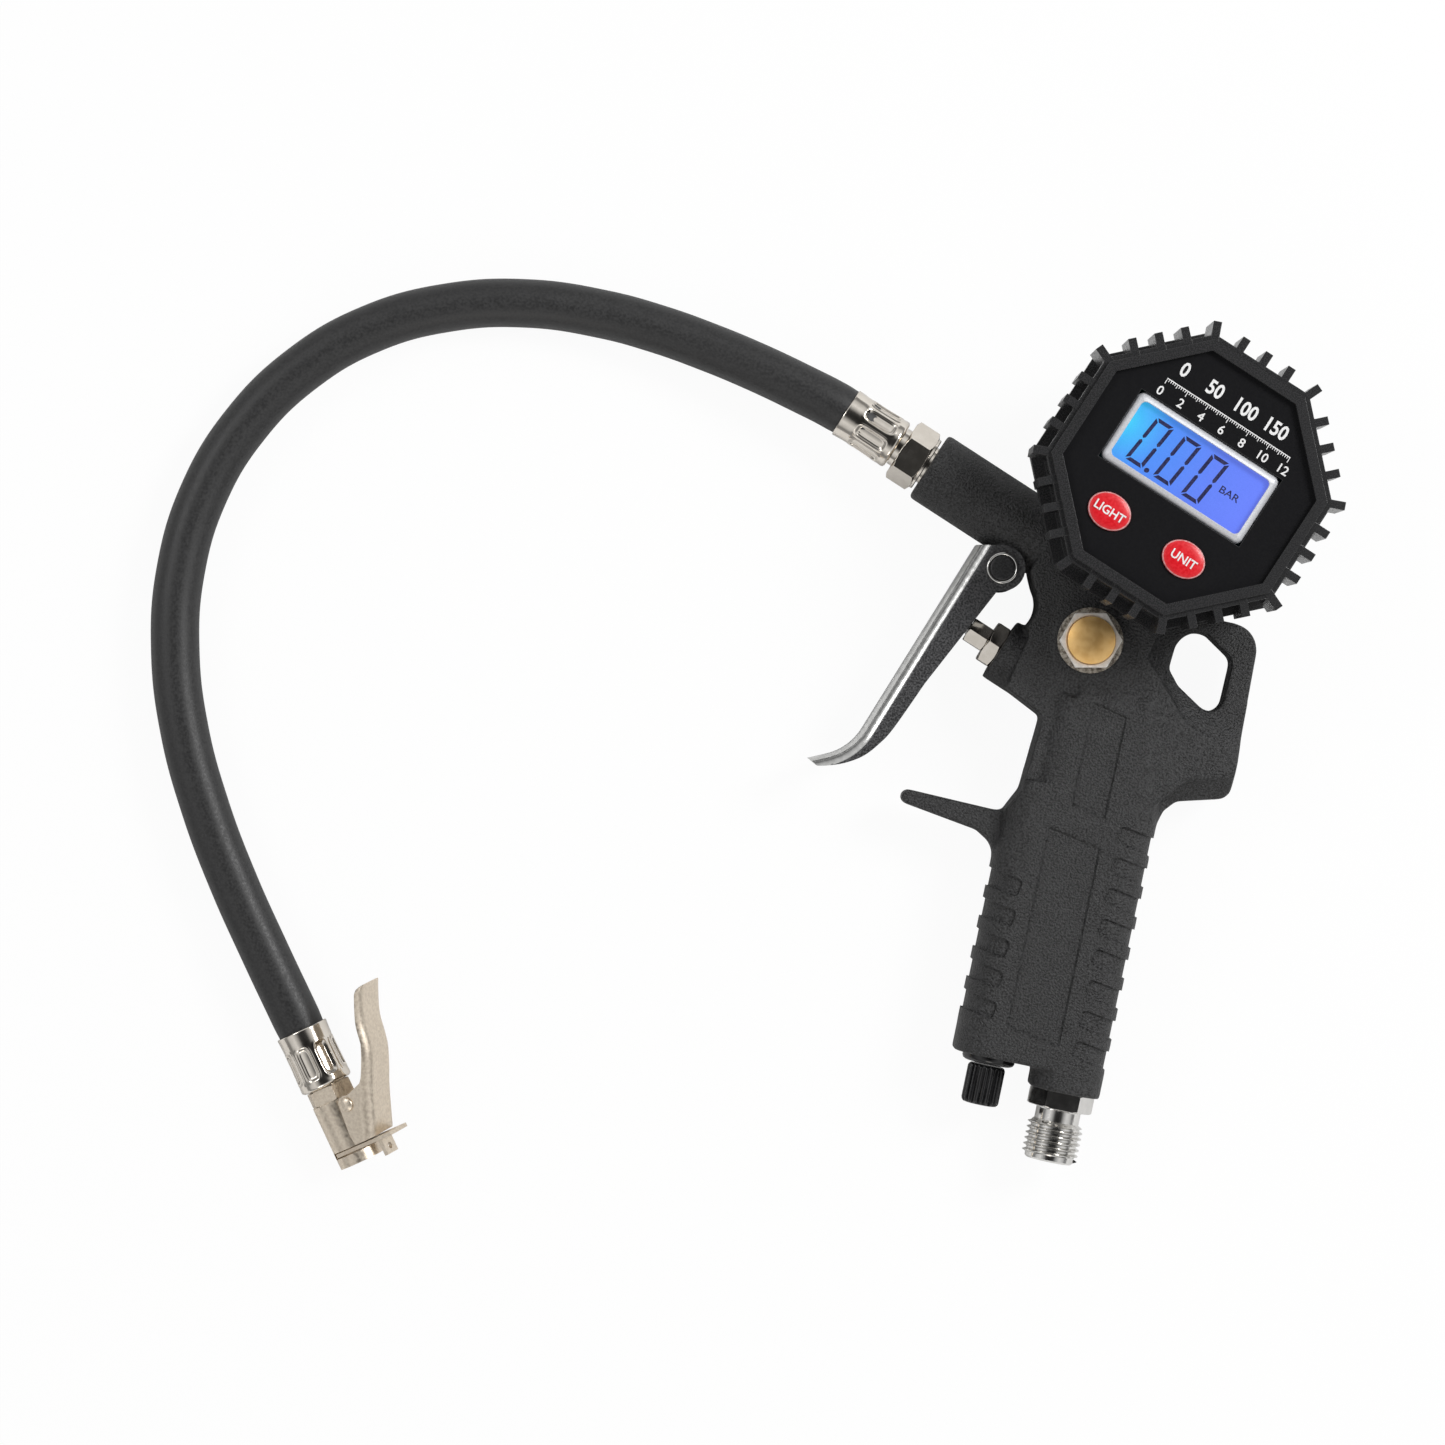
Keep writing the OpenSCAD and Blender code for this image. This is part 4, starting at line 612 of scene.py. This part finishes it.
smooth(knob, 50)
knob_black = finish("knob_black", (0.006, 0.006, 0.0065), (0.012, 0.012, 0.013),
                    0.1, 0.18, grains=1500, bump=0.004)
fit(knob, "knob", "knob_black", knob_black, "flow_knob")
gland = turned("knob_flange", [
    (5.0, 30.4), (5.0, knob_seat_y), (gland_r, knob_seat_y), (gland_r, 21.3), (6.2, 20.7), (5.6, 20.4),
    (5.2, 20.3), (3.2, 20.3)])
put(gland, knob_place)
smooth(gland, 40)
fit(gland, "pistol", "knob_black", knob_black, "knob_gland")
dress(seal_black, "knob_seal")
dress(steel, "needle")

# ------------------------------------------------------------------ trigger
# A lever pressed from steel sheet into a channel, dark on its flat sides, with a painted highlight
# of bright steel on its bends and back; it turns on a pin that two snap rings hold in the ears of the body.
pivot = Vector((-40.963, 139.504, 0)) * mm
trigger_turn = math.radians(-20.1)
spine_x, spine_low, bend_r, bend, out_half = -8.3, -51, 14, 45, 8.2
trigger_sheet, eye_r, eye_bore_r, tip_l, fold_r = 1.2, 5.6, 3.2, 4.8, 4.3
pin_half, pin_r = 9.0, 3.1
ring_z, ring_r, ring_wire = 8.62, 3.5, 0.36
flat_side = 0.97


def spine_line(inset, past=0):
    """The back of the channel from its top to its bent tip, or past it by this much."""
    bends = [-bend * i / 12 for i in range(13)]
    points = [(spine_x + inset, 0.8)] + arc(spine_x - bend_r, spine_low, bend_r + inset, bends)
    x, y = points[-1]
    turn = math.radians(bend)
    return points + [(x - (tip_l + past) * math.sin(turn), y - (tip_l + past) * math.cos(turn))]


def rolled(name, back, foot, half, radius):
    """A solid between a back line and its foot, the back turned over to both sides in a fold."""
    piece = outline(name, back + foot, -half, half)
    only(piece)
    bpy.ops.object.mode_set(mode="EDIT")
    bpy.ops.mesh.select_mode(type="EDGE")
    bpy.ops.mesh.select_all(action="DESELECT")
    bpy.ops.object.mode_set(mode="OBJECT")
    near = 0.01
    top = {v.index for v in piece.data.vertices
           if min((Vector(spot) - v.co.xy / mm).length for spot in back) < near}
    for e in piece.data.edges:
        low, high = (piece.data.vertices[i].co.z for i in e.vertices)
        e.select = set(e.vertices) <= top and abs(high - low) < near * mm
    bevel_selected(piece, radius, 10, clamp_overlap=False)
    return piece


cheek_edge = eased([(-14.3, -65.5), (-11.2, -63.6), (-7.6, -60.6), (-4.6, -56.7), (-2.9, -52.2), (-1.9, -47),
                    (-1.2, -33.8)], 4)
eye = arc(0, 0, eye_r, range(-70, 131, 10))
trigger = rolled("trigger_lever", [(spine_x, 8)] + spine_line(0)[1:], [(8, -67), (8, 8)], out_half, fold_r)
hollow = rolled("trigger_hollow", [(spine_x + trigger_sheet, 12)] + spine_line(trigger_sheet, 8)[1:],
                [(20, -72), (20, 12)], out_half - trigger_sheet, fold_r - trigger_sheet)
combine(trigger, hollow, "DIFFERENCE")
combine(trigger, outline("trigger_trim", spine_line(-1.5) + cheek_edge + eye, -9, 9), "INTERSECT")
combine(trigger, turned("eye_bore", [(eye_bore_r, -10), (eye_bore_r, 10)]), "DIFFERENCE")
put(trigger, Matrix.Translation(pivot) @ Matrix.Rotation(trigger_turn, 4, "Z"))
soften(trigger, 0.2, 2, 75)
smooth(trigger, 35)
trigger_steel = finish("trigger_steel", (0.05, 0.05, 0.052), (0.14, 0.14, 0.144),
                       0.36, 0.5, 0.7, grains=2200, bump=0.02)
fit(trigger, "trigger", "trigger_steel", trigger_steel, "trigger")
# Painted highlight: every face that is not a flat side, that is the bends and the back, gets this bright
# steel.
bends_highlight_steel = finish("bends_highlight_steel", (0.55, 0.55, 0.54), (0.66, 0.66, 0.65), 0.12, 0.2, 1.0, grains=900)
trigger.data.materials.append(bends_highlight_steel)
for face in trigger.data.polygons:
    face.material_index = int(abs(face.normal.z) < flat_side)
pin = turned("pivot_pin_round", [
    (pin_r - 0.5, -pin_half), (pin_r - 0.1, -pin_half + 0.2), (pin_r, -pin_half + 0.5),
    (pin_r, pin_half - 0.5), (pin_r - 0.1, pin_half - 0.2), (pin_r - 0.5, pin_half),
    (pin_r - 0.9, pin_half - 0.12)])
put(pin, Matrix.Translation(pivot))
smooth(pin, 50)
pin_black = finish("pin_black", (0.03, 0.03, 0.031), (0.06, 0.06, 0.062),
                   0.4, 0.55, 0.6, grains=2600, bump=0.02)
fit(pin, "pistol", "pin_black", pin_black, "pivot_pin")
rings = []
for side in (-1, 1):
    bpy.ops.mesh.primitive_torus_add(
        location=pivot + Vector((0, 0, side * ring_z * mm)), major_segments=72, minor_segments=14,
        major_radius=ring_r * mm, minor_radius=ring_wire * mm)
    rings.append(bpy.context.object)
rings = joined("pivot_rings", rings)
settle(rings)
smooth(rings, 60)
fit(rings, "pistol", "bright_steel", bright_steel, "pivot_clips")

# ------------------------------------------------------------------ main valve
# The trigger pushes a steel plunger through a small nickel guide; a larger nickel gland nut
# closes the chamber in the body, where a spring holds the rubber poppet on its brass seat.
valve_drop, guide_u, gland_u, boss_u, nose_u = 28.1, 29.1, 34.3, 38, 21.37
guide_af, gland_af, rod_r, poppet_r = 6, 10.4, 1.5, 3.9
valve_axis = in_head(0, -valve_drop) @ along_x
guide = nut("valve_guide_nut", guide_af, guide_u, gland_u, 0.45)
put(guide, valve_axis)
smooth(guide)
fit(guide, "pistol", "nickel", nickel, "valve_guide")
gland = nut("valve_gland_nut", gland_af, gland_u + 0.05, boss_u, 0.9)
combine(gland, turned("gland_shank", [(5, boss_u - 0.5), (5, boss_u + 8.5)]), "UNION")
put(gland, valve_axis)
smooth(gland)
fit(gland, "pistol", "nickel", nickel, "valve_gland")
plunger = turned("plunger_rod", [
    (0.7, nose_u), (1.2, nose_u + 0.15), (rod_r, nose_u + 0.6), (rod_r, 53.0), (poppet_r, 53.0),
    (poppet_r, 55.4), (1.3, 55.4), (1.3, 57.4)])
put(plunger, valve_axis)
smooth(plunger, 40)
fit(plunger, "plunger", "steel", steel, "plunger")
dress(seal_black, "poppet_seal", "stem_packing")
dress(brass, "valve_seat")
dress(steel, "valve_spring")

# ------------------------------------------------------------------ bleed valve
# A worn nickel collar with a round flange and a hexagon, screwed into its boss on the head;
# a domed brass button sits in it, on a light spring, and lets air out when it is pressed.
bleed = in_head(55, -14.9)
collar_low, collar_high, collar_af, collar_turn = 10, 13.5, 13.2, 33
dome_r, dome_low, dome_top, dome_edge_r, arc_steps = 16, 12.8, 16.4, 5.75, 10
collar = nut("bleed_collar_nut", collar_af, collar_low + 1.1, collar_high, 0.4, collar_turn)
flange = turned("collar_flange", [
    (5, 1), (5, collar_low), (7.6, collar_low), (8, collar_low + 0.3), (8, collar_low + 0.9),
    (7.5, collar_low + 1.25), (5, collar_low + 1.25)])
combine(collar, flange, "UNION")
combine(collar, turned("collar_bore", [(5.8, 11), (5.8, 13.1), (6.15, 13.6)]), "DIFFERENCE")
put(collar, bleed)
smooth(collar)
collar_nickel = finish("collar_nickel", (0.8, 0.77, 0.72), (0.95, 0.92, 0.88),
                       0.3, 0.45, grains=900, bump=0.015)
wear(collar_nickel, (0.22, 0.17, 0.12), 0.6, 520, 0.14)
fit(collar, "pistol", "collar_nickel", collar_nickel, "bleed_collar")
# Painted shade: the flange, lying low under the hexagon, gets a darker brown than the nickel above it.
collar_shade = finish("flange_painted_shade", (0.1, 0.08, 0.06), (0.42, 0.38, 0.32),
                      0.4, 0.55, grains=1300, bump=0.015)
collar.data.materials.append(collar_shade)
for face in collar.data.polygons:
    face.material_index = int((bleed.inverted() @ face.center).z < (collar_low + 1.4) * mm)
dome_profile = [(1.6, 0.2), (1.6, dome_low), (5.3, dome_low), (dome_edge_r, dome_low + 0.3)]
for i in range(arc_steps):
    radius = dome_edge_r * (1 - i / arc_steps)
    dome_profile.append((radius, dome_top - dome_r + math.sqrt(dome_r ** 2 - radius ** 2)))
dome = turned("bleed_dome", dome_profile, 96)
put(dome, bleed)
smooth(dome, 60)
brass_worn = finish("worn_brass", (0.92, 0.56, 0.2), (1.0, 0.66, 0.27),
                    0.38, 0.5, 0.8, grains=500, bump=0.006)
wear(brass_worn, (0.34, 0.22, 0.1), 0.55, 260, 0.1)
fit(dome, "bleeder", "brass", brass_worn, "bleed_button")
dress(seal_black, "bleed_seal")
dress(steel, "bleed_spring")

# ------------------------------------------------------------------ gauge boot and case
# A thick black rubber boot moulded with square lugs round its eight sides; it grips the
# plastic case, which stands on a brass nipple in the head and holds the pressure sensor.
gauge = in_head(52.1, 28.7)
boot = copy_of("gauge_boot", "rubber_boot")
soften(boot, 0.45, 3, 30)
smooth(boot, 40)
boot_rubber = finish("boot_rubber", (0.022, 0.022, 0.023), (0.027, 0.027, 0.028), 0.24, 0.3, grains=3000)
fit(boot, "pistol", "boot_rubber", boot_rubber, "gauge_boot")
case_black = finish("case_black", (0.02, 0.02, 0.021), (0.03, 0.03, 0.031), 0.4, 0.55, grains=2500, bump=0.01)
dress(case_black, "gauge_case", "gauge_back")
dress(steel, "back_screws", "pressure_sensor")
dress(brass, "gauge_nipple")
copper = finish("copper", (0.5, 0.2, 0.1), (0.65, 0.3, 0.18), 0.3, 0.45, 1.0, grains=1500)
dress(copper, "nipple_washer")

# ------------------------------------------------------------------ gauge face
# A glossy black face plate with a scale printed in white, bar under its line and psi above
# that; the display sits in a silver frame, and two red buttons come up through the plate.
face_z, bezel_x, bezel_y, bezel_w, bezel_h = 39.0, -1.0, 2.1, 39.6, 18.8
face = copy_of("face_plate", "glossy_face")
soften(face, 0.12, 2, 60)
face_gloss = finish("face_gloss", (0.0095, 0.0095, 0.0105), (0.011, 0.011, 0.012), 0.15, 0.18, grains=2500)
fit(face, "pistol", "face_gloss", face_gloss, "face_plate")


def lettering(name, words, height, x, y, z, bold=0.0, squeeze=1.0, align="CENTER"):
    """Printed words or numbers on the gauge, their middle or left end at x, their foot at y."""
    capital_share, print_half = 0.73, 0.02
    bpy.ops.object.text_add()
    piece = added(name)
    piece.data.body = words
    piece.data.size = height / capital_share * mm
    piece.data.align_x = align
    piece.data.offset = bold * mm
    piece.data.extrude = print_half * mm
    piece.data.resolution_u = 3
    bpy.ops.object.convert(target="MESH")
    piece = bpy.context.object
    piece.data.transform(Matrix.Diagonal((squeeze, 1, 1, 1)))
    bpy.ops.object.mode_set(mode="EDIT")
    bpy.ops.mesh.select_all(action="SELECT")
    bpy.ops.mesh.remove_doubles(threshold=weld / 2)
    bpy.ops.mesh.normals_make_consistent(inside=False)
    bpy.ops.object.mode_set(mode="OBJECT")
    put(piece, shifted(gauge, x, y, z + print_half))
    return piece


def strip(left, right, low, high):
    """A printed line on the face."""
    corners = [(left, low), (right, low), (right, high), (left, high)]
    piece = outline("printed_line", corners, face_z, face_z + print_t)
    put(piece, gauge)
    return piece


print_white = finish("print_white", (0.72, 0.72, 0.72), (0.84, 0.84, 0.84), 0.35, 0.5, grains=2500)
scale_left, scale_right, bar_y, psi_y, line_y = -17.0, 17.5, 12.6, 19.3, 16.9
line_half, rule_t, print_t = 0.09, 0.22, 0.04
bar_top, psi_top, bar_per_psi, psi_spread = 12, 150, 0.06895, 0.86
scale_w = scale_right - scale_left
printed = []
for bar_number in range(0, bar_top + 1, 2):
    x = scale_left + scale_w * bar_number / bar_top
    printed.append(lettering("bar_number", str(bar_number), 2.3, x, bar_y, face_z, 0.04))
for psi_number in range(0, psi_top + 1, 50):
    x = scale_left + scale_w * psi_number * bar_per_psi / bar_top
    printed.append(lettering("psi_number", str(psi_number), 3.6, x * psi_spread, psi_y, face_z, 0.12, 0.85))
marks = 5 * bar_top
for i in range(marks + 1):
    x = scale_left + scale_w * i / marks
    tall = 1.3 if i % 10 == 0 else 0.9 if i % 5 == 0 else 0.55
    printed.append(strip(x - line_half, x + line_half, line_y - tall, line_y))
printed.append(strip(scale_left - line_half, scale_right + line_half, line_y, line_y + rule_t))
printed = joined("printed_scale", printed)
fit(printed, "pistol", "light_plastic", print_white)

bezel_mid_z, bezel_t, bezel_rim = 37.8, 3.4, 3.6
bezel = block("display_frame", (bezel_w, bezel_h, bezel_t), (0, 0, bezel_mid_z), 2.0, 2, 8)
window_size = (bezel_w - bezel_rim, bezel_h - bezel_rim, 8)
window = block("display_window", window_size, (0, 0, bezel_mid_z), 1.4, 2, 8)
combine(bezel, window, "DIFFERENCE")
soften(bezel, 0.35, 3, 50)
put(bezel, shifted(gauge, bezel_x, bezel_y))
smooth(bezel, 40)
frame_silver = finish("frame_silver", (0.58, 0.59, 0.62), (0.68, 0.69, 0.72),
                      0.38, 0.5, 0.25, grains=3000, bump=0.005)
fit(bezel, "pistol", "frame_silver", frame_silver, "lcd_bezel")

# ------------------------------------------------------------------ display
# A liquid crystal cell on a blue backlight whose lamp glows at the left end; the reading is
# in slanted bars that turn dark, with the unit beside it, under a clear window.
glass_z, cell_t, cell_in = 38.1, 2.0, 1.4
lamp_x, lamp_y, lamp_reach, glow_strength = -19.5, 1.5, 36, 0.62
cell_size = (bezel_w - cell_in, bezel_h - cell_in, cell_t)
screen = block("display_cell", cell_size, (0, 0, glass_z - cell_t / 2), 1.0, 2, 4)
put(screen, shifted(gauge, bezel_x, bezel_y))
display_blue = finish("display_blue", (0.055, 0.11, 0.44), (0.065, 0.125, 0.48), 0.12, 0.18, grains=3500)
tree = display_blue.node_tree
shader = tree.nodes["Principled BSDF"]
where = new_node(tree, "TexCoord")
middle = gauge @ Vector((bezel_x * mm, bezel_y * mm, 0))
square = new_node(tree, "Mapping", {"Location": middle, "Rotation": (0, 0, head_tilt)}, vector_type="TEXTURE")
split = new_node(tree, "SeparateXYZ")
wire(tree, (where, "Object", square, "Vector"), (square, "Vector", split, 0))
lamp_spot = new_node(tree, "VectorMath", {1: (lamp_x * mm, lamp_y * mm, 0)}, operation="DISTANCE")
flat = new_node(tree, "CombineXYZ")
wire(tree, (split, "X", flat, "X"), (split, "Y", flat, "Y"), (flat, 0, lamp_spot, 0))
glow = new_node(tree, "ValToRGB")
glow_reach = new_node(tree, "MapRange", {"From Max": lamp_reach * mm})
wire(tree, (lamp_spot, "Value", glow_reach, "Value"), (glow_reach, "Result", glow, "Fac"))
set_ramp(glow, [(0.0, (0.02, 0.95, 0.85)), (0.12, (0.02, 0.62, 0.8)), (0.32, (0.05, 0.27, 0.75)),
                (0.7, (0.12, 0.19, 0.74)), (1.0, (0.15, 0.19, 0.8))])
wire(tree, (glow, "Color", shader, "Emission Color"))
shader.inputs["Emission Strength"].default_value = glow_strength
fit(screen, "pistol", "display_glass", display_blue, "lcd_glass")
smooth(screen)

digit_x, digit_y, digit_w, digit_h, digit_pitch, slant = -15.4, -4.3, 4.9, 12.3, 7.85, 0.11
bar_w, gap, dot_r, dot_y, dot_back, bar_t = 0.9, 0.16, 0.62, 0.35, 1.85, 0.05
unit_x, unit_y, unit_h = 7.5, 1.1, 1.85


def bar(shift, points):
    """One bar of the digit at this shift, slanted as the digit is."""
    slanted = [(digit_x + shift + x + slant * y, digit_y + y) for x, y in points]
    piece = outline("digit_bar", slanted, glass_z, glass_z + bar_t)
    put(piece, gauge)
    return piece


reading = []
half, tall = bar_w / 2, digit_h / 2
for i in range(3):
    shift = digit_pitch * i
    for y, inward in ((0, 1), (digit_h, -1)):
        reading.append(bar(shift, [
            (gap * 2, y), (digit_w - gap * 2, y), (digit_w - bar_w - gap, y + inward * bar_w),
            (bar_w + gap, y + inward * bar_w)]))
    for x, inward in ((0, 1), (digit_w, -1)):
        for low, way in ((0, 1), (digit_h, -1)):
            reading.append(bar(shift, [
                (x, low + way * gap * 2), (x + inward * bar_w, low + way * (bar_w + gap)),
                (x + inward * bar_w, tall - way * (half + gap)), (x + inward * half, tall - way * gap),
                (x, tall - way * (half + gap))]))
reading.append(bar(digit_pitch - dot_back, arc(0, dot_y, dot_r, range(0, 360, 30))))
reading.append(lettering("unit_mark", "BAR", unit_h, unit_x, unit_y, glass_z, 0.02, 1.15, "LEFT"))
reading = joined("display_reading", reading)
liquid_crystal = finish("liquid_crystal", (0.012, 0.014, 0.06), (0.03, 0.03, 0.1), 0.3, 0.4, grains=2500)
fit(reading, "pistol", "display_glass", liquid_crystal)
backlight_white = finish("backlight_white", (0.6, 0.65, 0.7), (0.7, 0.74, 0.78), 0.4, 0.5, grains=2000)
dress(backlight_white, "backlight")
board_green = finish("board_green", (0.015, 0.09, 0.035), (0.025, 0.14, 0.05), 0.3, 0.45, grains=800)
dress(board_green, "circuit_board")
dress(seal_black, "contact_strips", "key_switches")
dress(steel, "board_screws", "battery_contacts")
battery_wrap = finish("battery_wrap", (0.05, 0.06, 0.09), (0.08, 0.09, 0.13), 0.3, 0.4, grains=900)
dress(battery_wrap, "batteries")

# ------------------------------------------------------------------ buttons
# Two oval buttons of red silicone, domed on top, each with its printed word; they press on
# the switches of the board through the face, and a thin pale rim is painted round their top edge as a
# highlight.
button_red = finish("button_red", (0.62, 0.005, 0.012), (0.72, 0.012, 0.022),
                    0.28, 0.4, grains=1500, bump=0.004)
# Painted highlight: a pale pink for the thin ring of faces round each button's top edge.
rim_painted_highlight = finish("button_rim_highlight", (0.6, 0.2, 0.2), (0.75, 0.4, 0.4), 0.3, 0.4, grains=1500)
button_w, button_h, button_y, button_foot = 10.8, 8.7, -17.0, 34.6
rim_r, rim_z, word_drop, word_z = 5.02, 39.3, 1.05, 40.13
button_profile = [
    (button_w / 2, button_foot), (button_w / 2, 39.45), (5.3, 39.62), (5.05, 39.7), (4.9, 39.78),
    (4.0, 39.95), (3.0, 40.06), (2.0, 40.12), (1.0, 40.15)]
buttons = (("LIGHT", -11.5, "light_key", "light_button"), ("UNIT", 9.4, "unit_key", "unit_button"))
for word, x, body_name, node in buttons:
    button = turned(node + "_oval", button_profile)
    button.data.transform(Matrix.Diagonal((1, button_h / button_w, 1, 1)))
    button_place = shifted(gauge, x, button_y)
    put(button, button_place)
    smooth(button, 60)
    fit(button, body_name, "button_red", button_red, node)
    button.data.materials.append(rim_painted_highlight)
    for face in button.data.polygons:
        spot = button_place.inverted() @ face.center / mm
        face.material_index = int(math.hypot(spot.x, spot.y * button_w / button_h) > rim_r and spot.z > rim_z)
    printed_word = lettering(node + "_word", word, 2.2, x, button_y - word_drop, word_z, 0.05, 0.97)
    fit(printed_word, body_name, "light_plastic", print_white)

# ------------------------------------------------------------------ front fitting and ferrule
# A nickel hexagon with a round collar screws into the barrel; behind it the hose slips over
# a barb, and a thin nickel sleeve is crimped over the hose with eight long oval dents.
nut_af, nut_low, nut_high, nut_chamfer, nut_turn = 14, -8.8, -2.2, 1.15, 39
sleeve_l, sleeve_in_r, dents, dent_high, dent_w, dent_depth = 15, 6.03, 8, 12.4, 3.2, 0.55
barb_r, front_mouth_u = 3.85, -25.1
fitting = nut("front_nut", nut_af, nut_low, nut_high, nut_chamfer, nut_turn)
core = turned("front_core", [
    (barb_r, -24), (barb_r, -10.1), (5.0, -10.0), (5.0, -8.6), (5.1, -8.6), (5.1, -2.4), (6.7, -2.38),
    (6.9, nut_high), (6.9, -1.7), (6.7, -1.5), (4.9, -1.48), (4.9, 0.02), (5.6, 0.05), (5.6, 9.5)])
combine(fitting, core, "UNION")
put(fitting, head @ along_x)
smooth(fitting)
fit(fitting, "pistol", "nickel", nickel, "front_fitting")


def crimped(name, outer_r, dent_low, turn, place):
    """A thin sleeve with long oval dents pressed into it, its mouth at this place."""
    rows, waist_depth, ridge_h = 46, 0.32, 0.14
    profile = [(sleeve_in_r, 1.2), (sleeve_in_r, 0.25), (sleeve_in_r + 0.1, 0.02), (outer_r - 0.12, 0)]
    profile += [(outer_r, 0.14 + (sleeve_l - 0.7) * i / rows) for i in range(rows)]
    profile += [(outer_r - 0.1, sleeve_l - 0.35), (outer_r - 0.5, sleeve_l), (4.2, sleeve_l)]
    piece = turned(name, profile, 192)
    for vertex in piece.data.vertices:
        x, y, z = vertex.co / mm
        radius = math.hypot(x, y)
        if radius < outer_r - 0.3 or z < 0.1:
            continue
        share = (z - sleeve_l * 0.47) / (sleeve_l * 0.5)
        waist_in = waist_depth * max(0.0, 1 - share ** 2)
        angle = (math.degrees(math.atan2(y, x)) - turn) % (360 / dents)
        across = (angle - 180 / dents) * math.pi / 180 * outer_r / (dent_w / 2)
        along = (z - (dent_low + dent_high) / 2) / ((dent_high - dent_low) / 2)
        reach = abs(across) ** 3.2 + abs(along) ** 6
        press = dent_depth * max(0.0, min(1.0, (1.35 - reach) / 0.9)) ** 0.8
        ridge = ridge_h * math.exp(-((reach - 1.9) / 0.8) ** 2)
        grow = (radius - waist_in - press + ridge) / radius
        vertex.co.x *= grow
        vertex.co.y *= grow
    modify(piece, "SMOOTH", factor=0.5, iterations=2)
    put(piece, place)
    shade(piece, 60)
    return piece


sleeve = crimped("front_sleeve", 6.4, 4.6, 0, in_head(front_mouth_u, 0) @ along_x)
fit(sleeve, "pistol", "nickel", nickel, "front_ferrule")

# ------------------------------------------------------------------ chuck
# The clip-on chuck: a crimped sleeve, a hexagon neck and a turned body in nickel; a thumb
# lever of bent sheet turns on a rivet and draws a jaw plate across to grip the tyre valve.
chuck = (Matrix.Translation(Vector((-186, -6.3, -4.8)) * mm) @ Matrix.Rotation(math.radians(-53.2), 4, "Z")
         @ Matrix.Rotation(math.radians(27), 4, "X"))
sleeve = crimped("chuck_sleeve", 6.6, 4.4, 10, chuck @ along_x)
fit(sleeve, "pistol", "nickel", nickel, "chuck_ferrule")
champagne = finish("satin_nickel", (0.68, 0.59, 0.48), (0.8, 0.71, 0.59),
                   0.34, 0.46, 1.0, grains=1400, bump=0.006)
neck = nut("chuck_neck", 10.4, 15.2, 19.0, 0.5, 20)
core = turned("neck_core", [
    (barb_r, 1.2), (barb_r, 14.8), (4.3, 15.0), (4.3, 18.9), (3.4, 18.9), (3.4, 25)])
combine(neck, core, "UNION")
put(neck, chuck @ along_x)
smooth(neck)
fit(neck, "pistol", "nickel", champagne, "chuck_stem")
for node, width in (("chuck_body", 0.35), ("lever_rivet", 0.15), ("jaw_plate", 0.15)):
    piece = copy_of(node, node + "_part")
    soften(piece, width, 2, 35)
    smooth(piece, 35)
    fit(piece, "jaw" if node == "jaw_plate" else "pistol", "nickel", champagne, node)

rivet_w, rivet_s, rivet_r, lever_eye_r, lever_sheet, lever_fold_r = 21.1, 6.7, 1.28, 2.3, 0.9, 3.0
lip_depth, lip_end_w, cheek_half, thumb_r = 1.6, 8.6, 6.3, 3.0
back = eased([(-3.9, 24), (0.5, 21.7), (4.5, 20), (9, 19.1), (12.5, 18.2), (17, 16.1), (22, 13.5),
              (30.5, 9.8)])
lever_eye = arc(rivet_w, rivet_s, lever_eye_r, range(250, 149, -10))
cheek_line = eased([(17.6, 12.6), (16.2, 13.8), (12, 16.2), (9, 17.5)], 4)
flange_edge = [(31.5, 4.1), (28.4, 3.8)] + lever_eye + cheek_line
under = [(w, s - lip_depth) for w, s in reversed(back) if w < lip_end_w]
lever = rolled("chuck_lever_part", back + [(31, 9.55)], [(31, -4.5), (-3.9, 10)], cheek_half, lever_fold_r)
hollow = rolled("lever_hollow", [(-9, 25.8)] + [(w, s - lever_sheet) for w, s in back] + [(36, 6.3)],
                [(36, -10), (-9, 9.8)], cheek_half - lever_sheet, lever_fold_r - lever_sheet)
combine(lever, hollow, "DIFFERENCE")
trim = [(-5, 26)] + [(w, s + 1) for w, s in back] + [(31.5, 10.4)] + flange_edge + under + [(-5, 22.9)]
combine(lever, outline("lever_trim", trim, -8, 8), "INTERSECT")
thumb_limit = block("thumb_limit", (60, 80, 2 * cheek_half + 0.2), (26.15, 10, 0), thumb_r, 1)
combine(lever, thumb_limit, "INTERSECT")
bore = turned("rivet_bore", [(rivet_r, -10), (rivet_r, 10)], 32)
put(bore, Matrix.Translation(Vector((rivet_w, rivet_s, 0)) * mm))
combine(lever, bore, "DIFFERENCE")
soften(lever, 0.14, 2, 75)
put(lever, chuck)
smooth(lever, 35)
fit(lever, "lever", "nickel", champagne, "chuck_lever")
dress(seal_black, "chuck_seal")
dress(steel, "valve_depressor", "lever_spring")
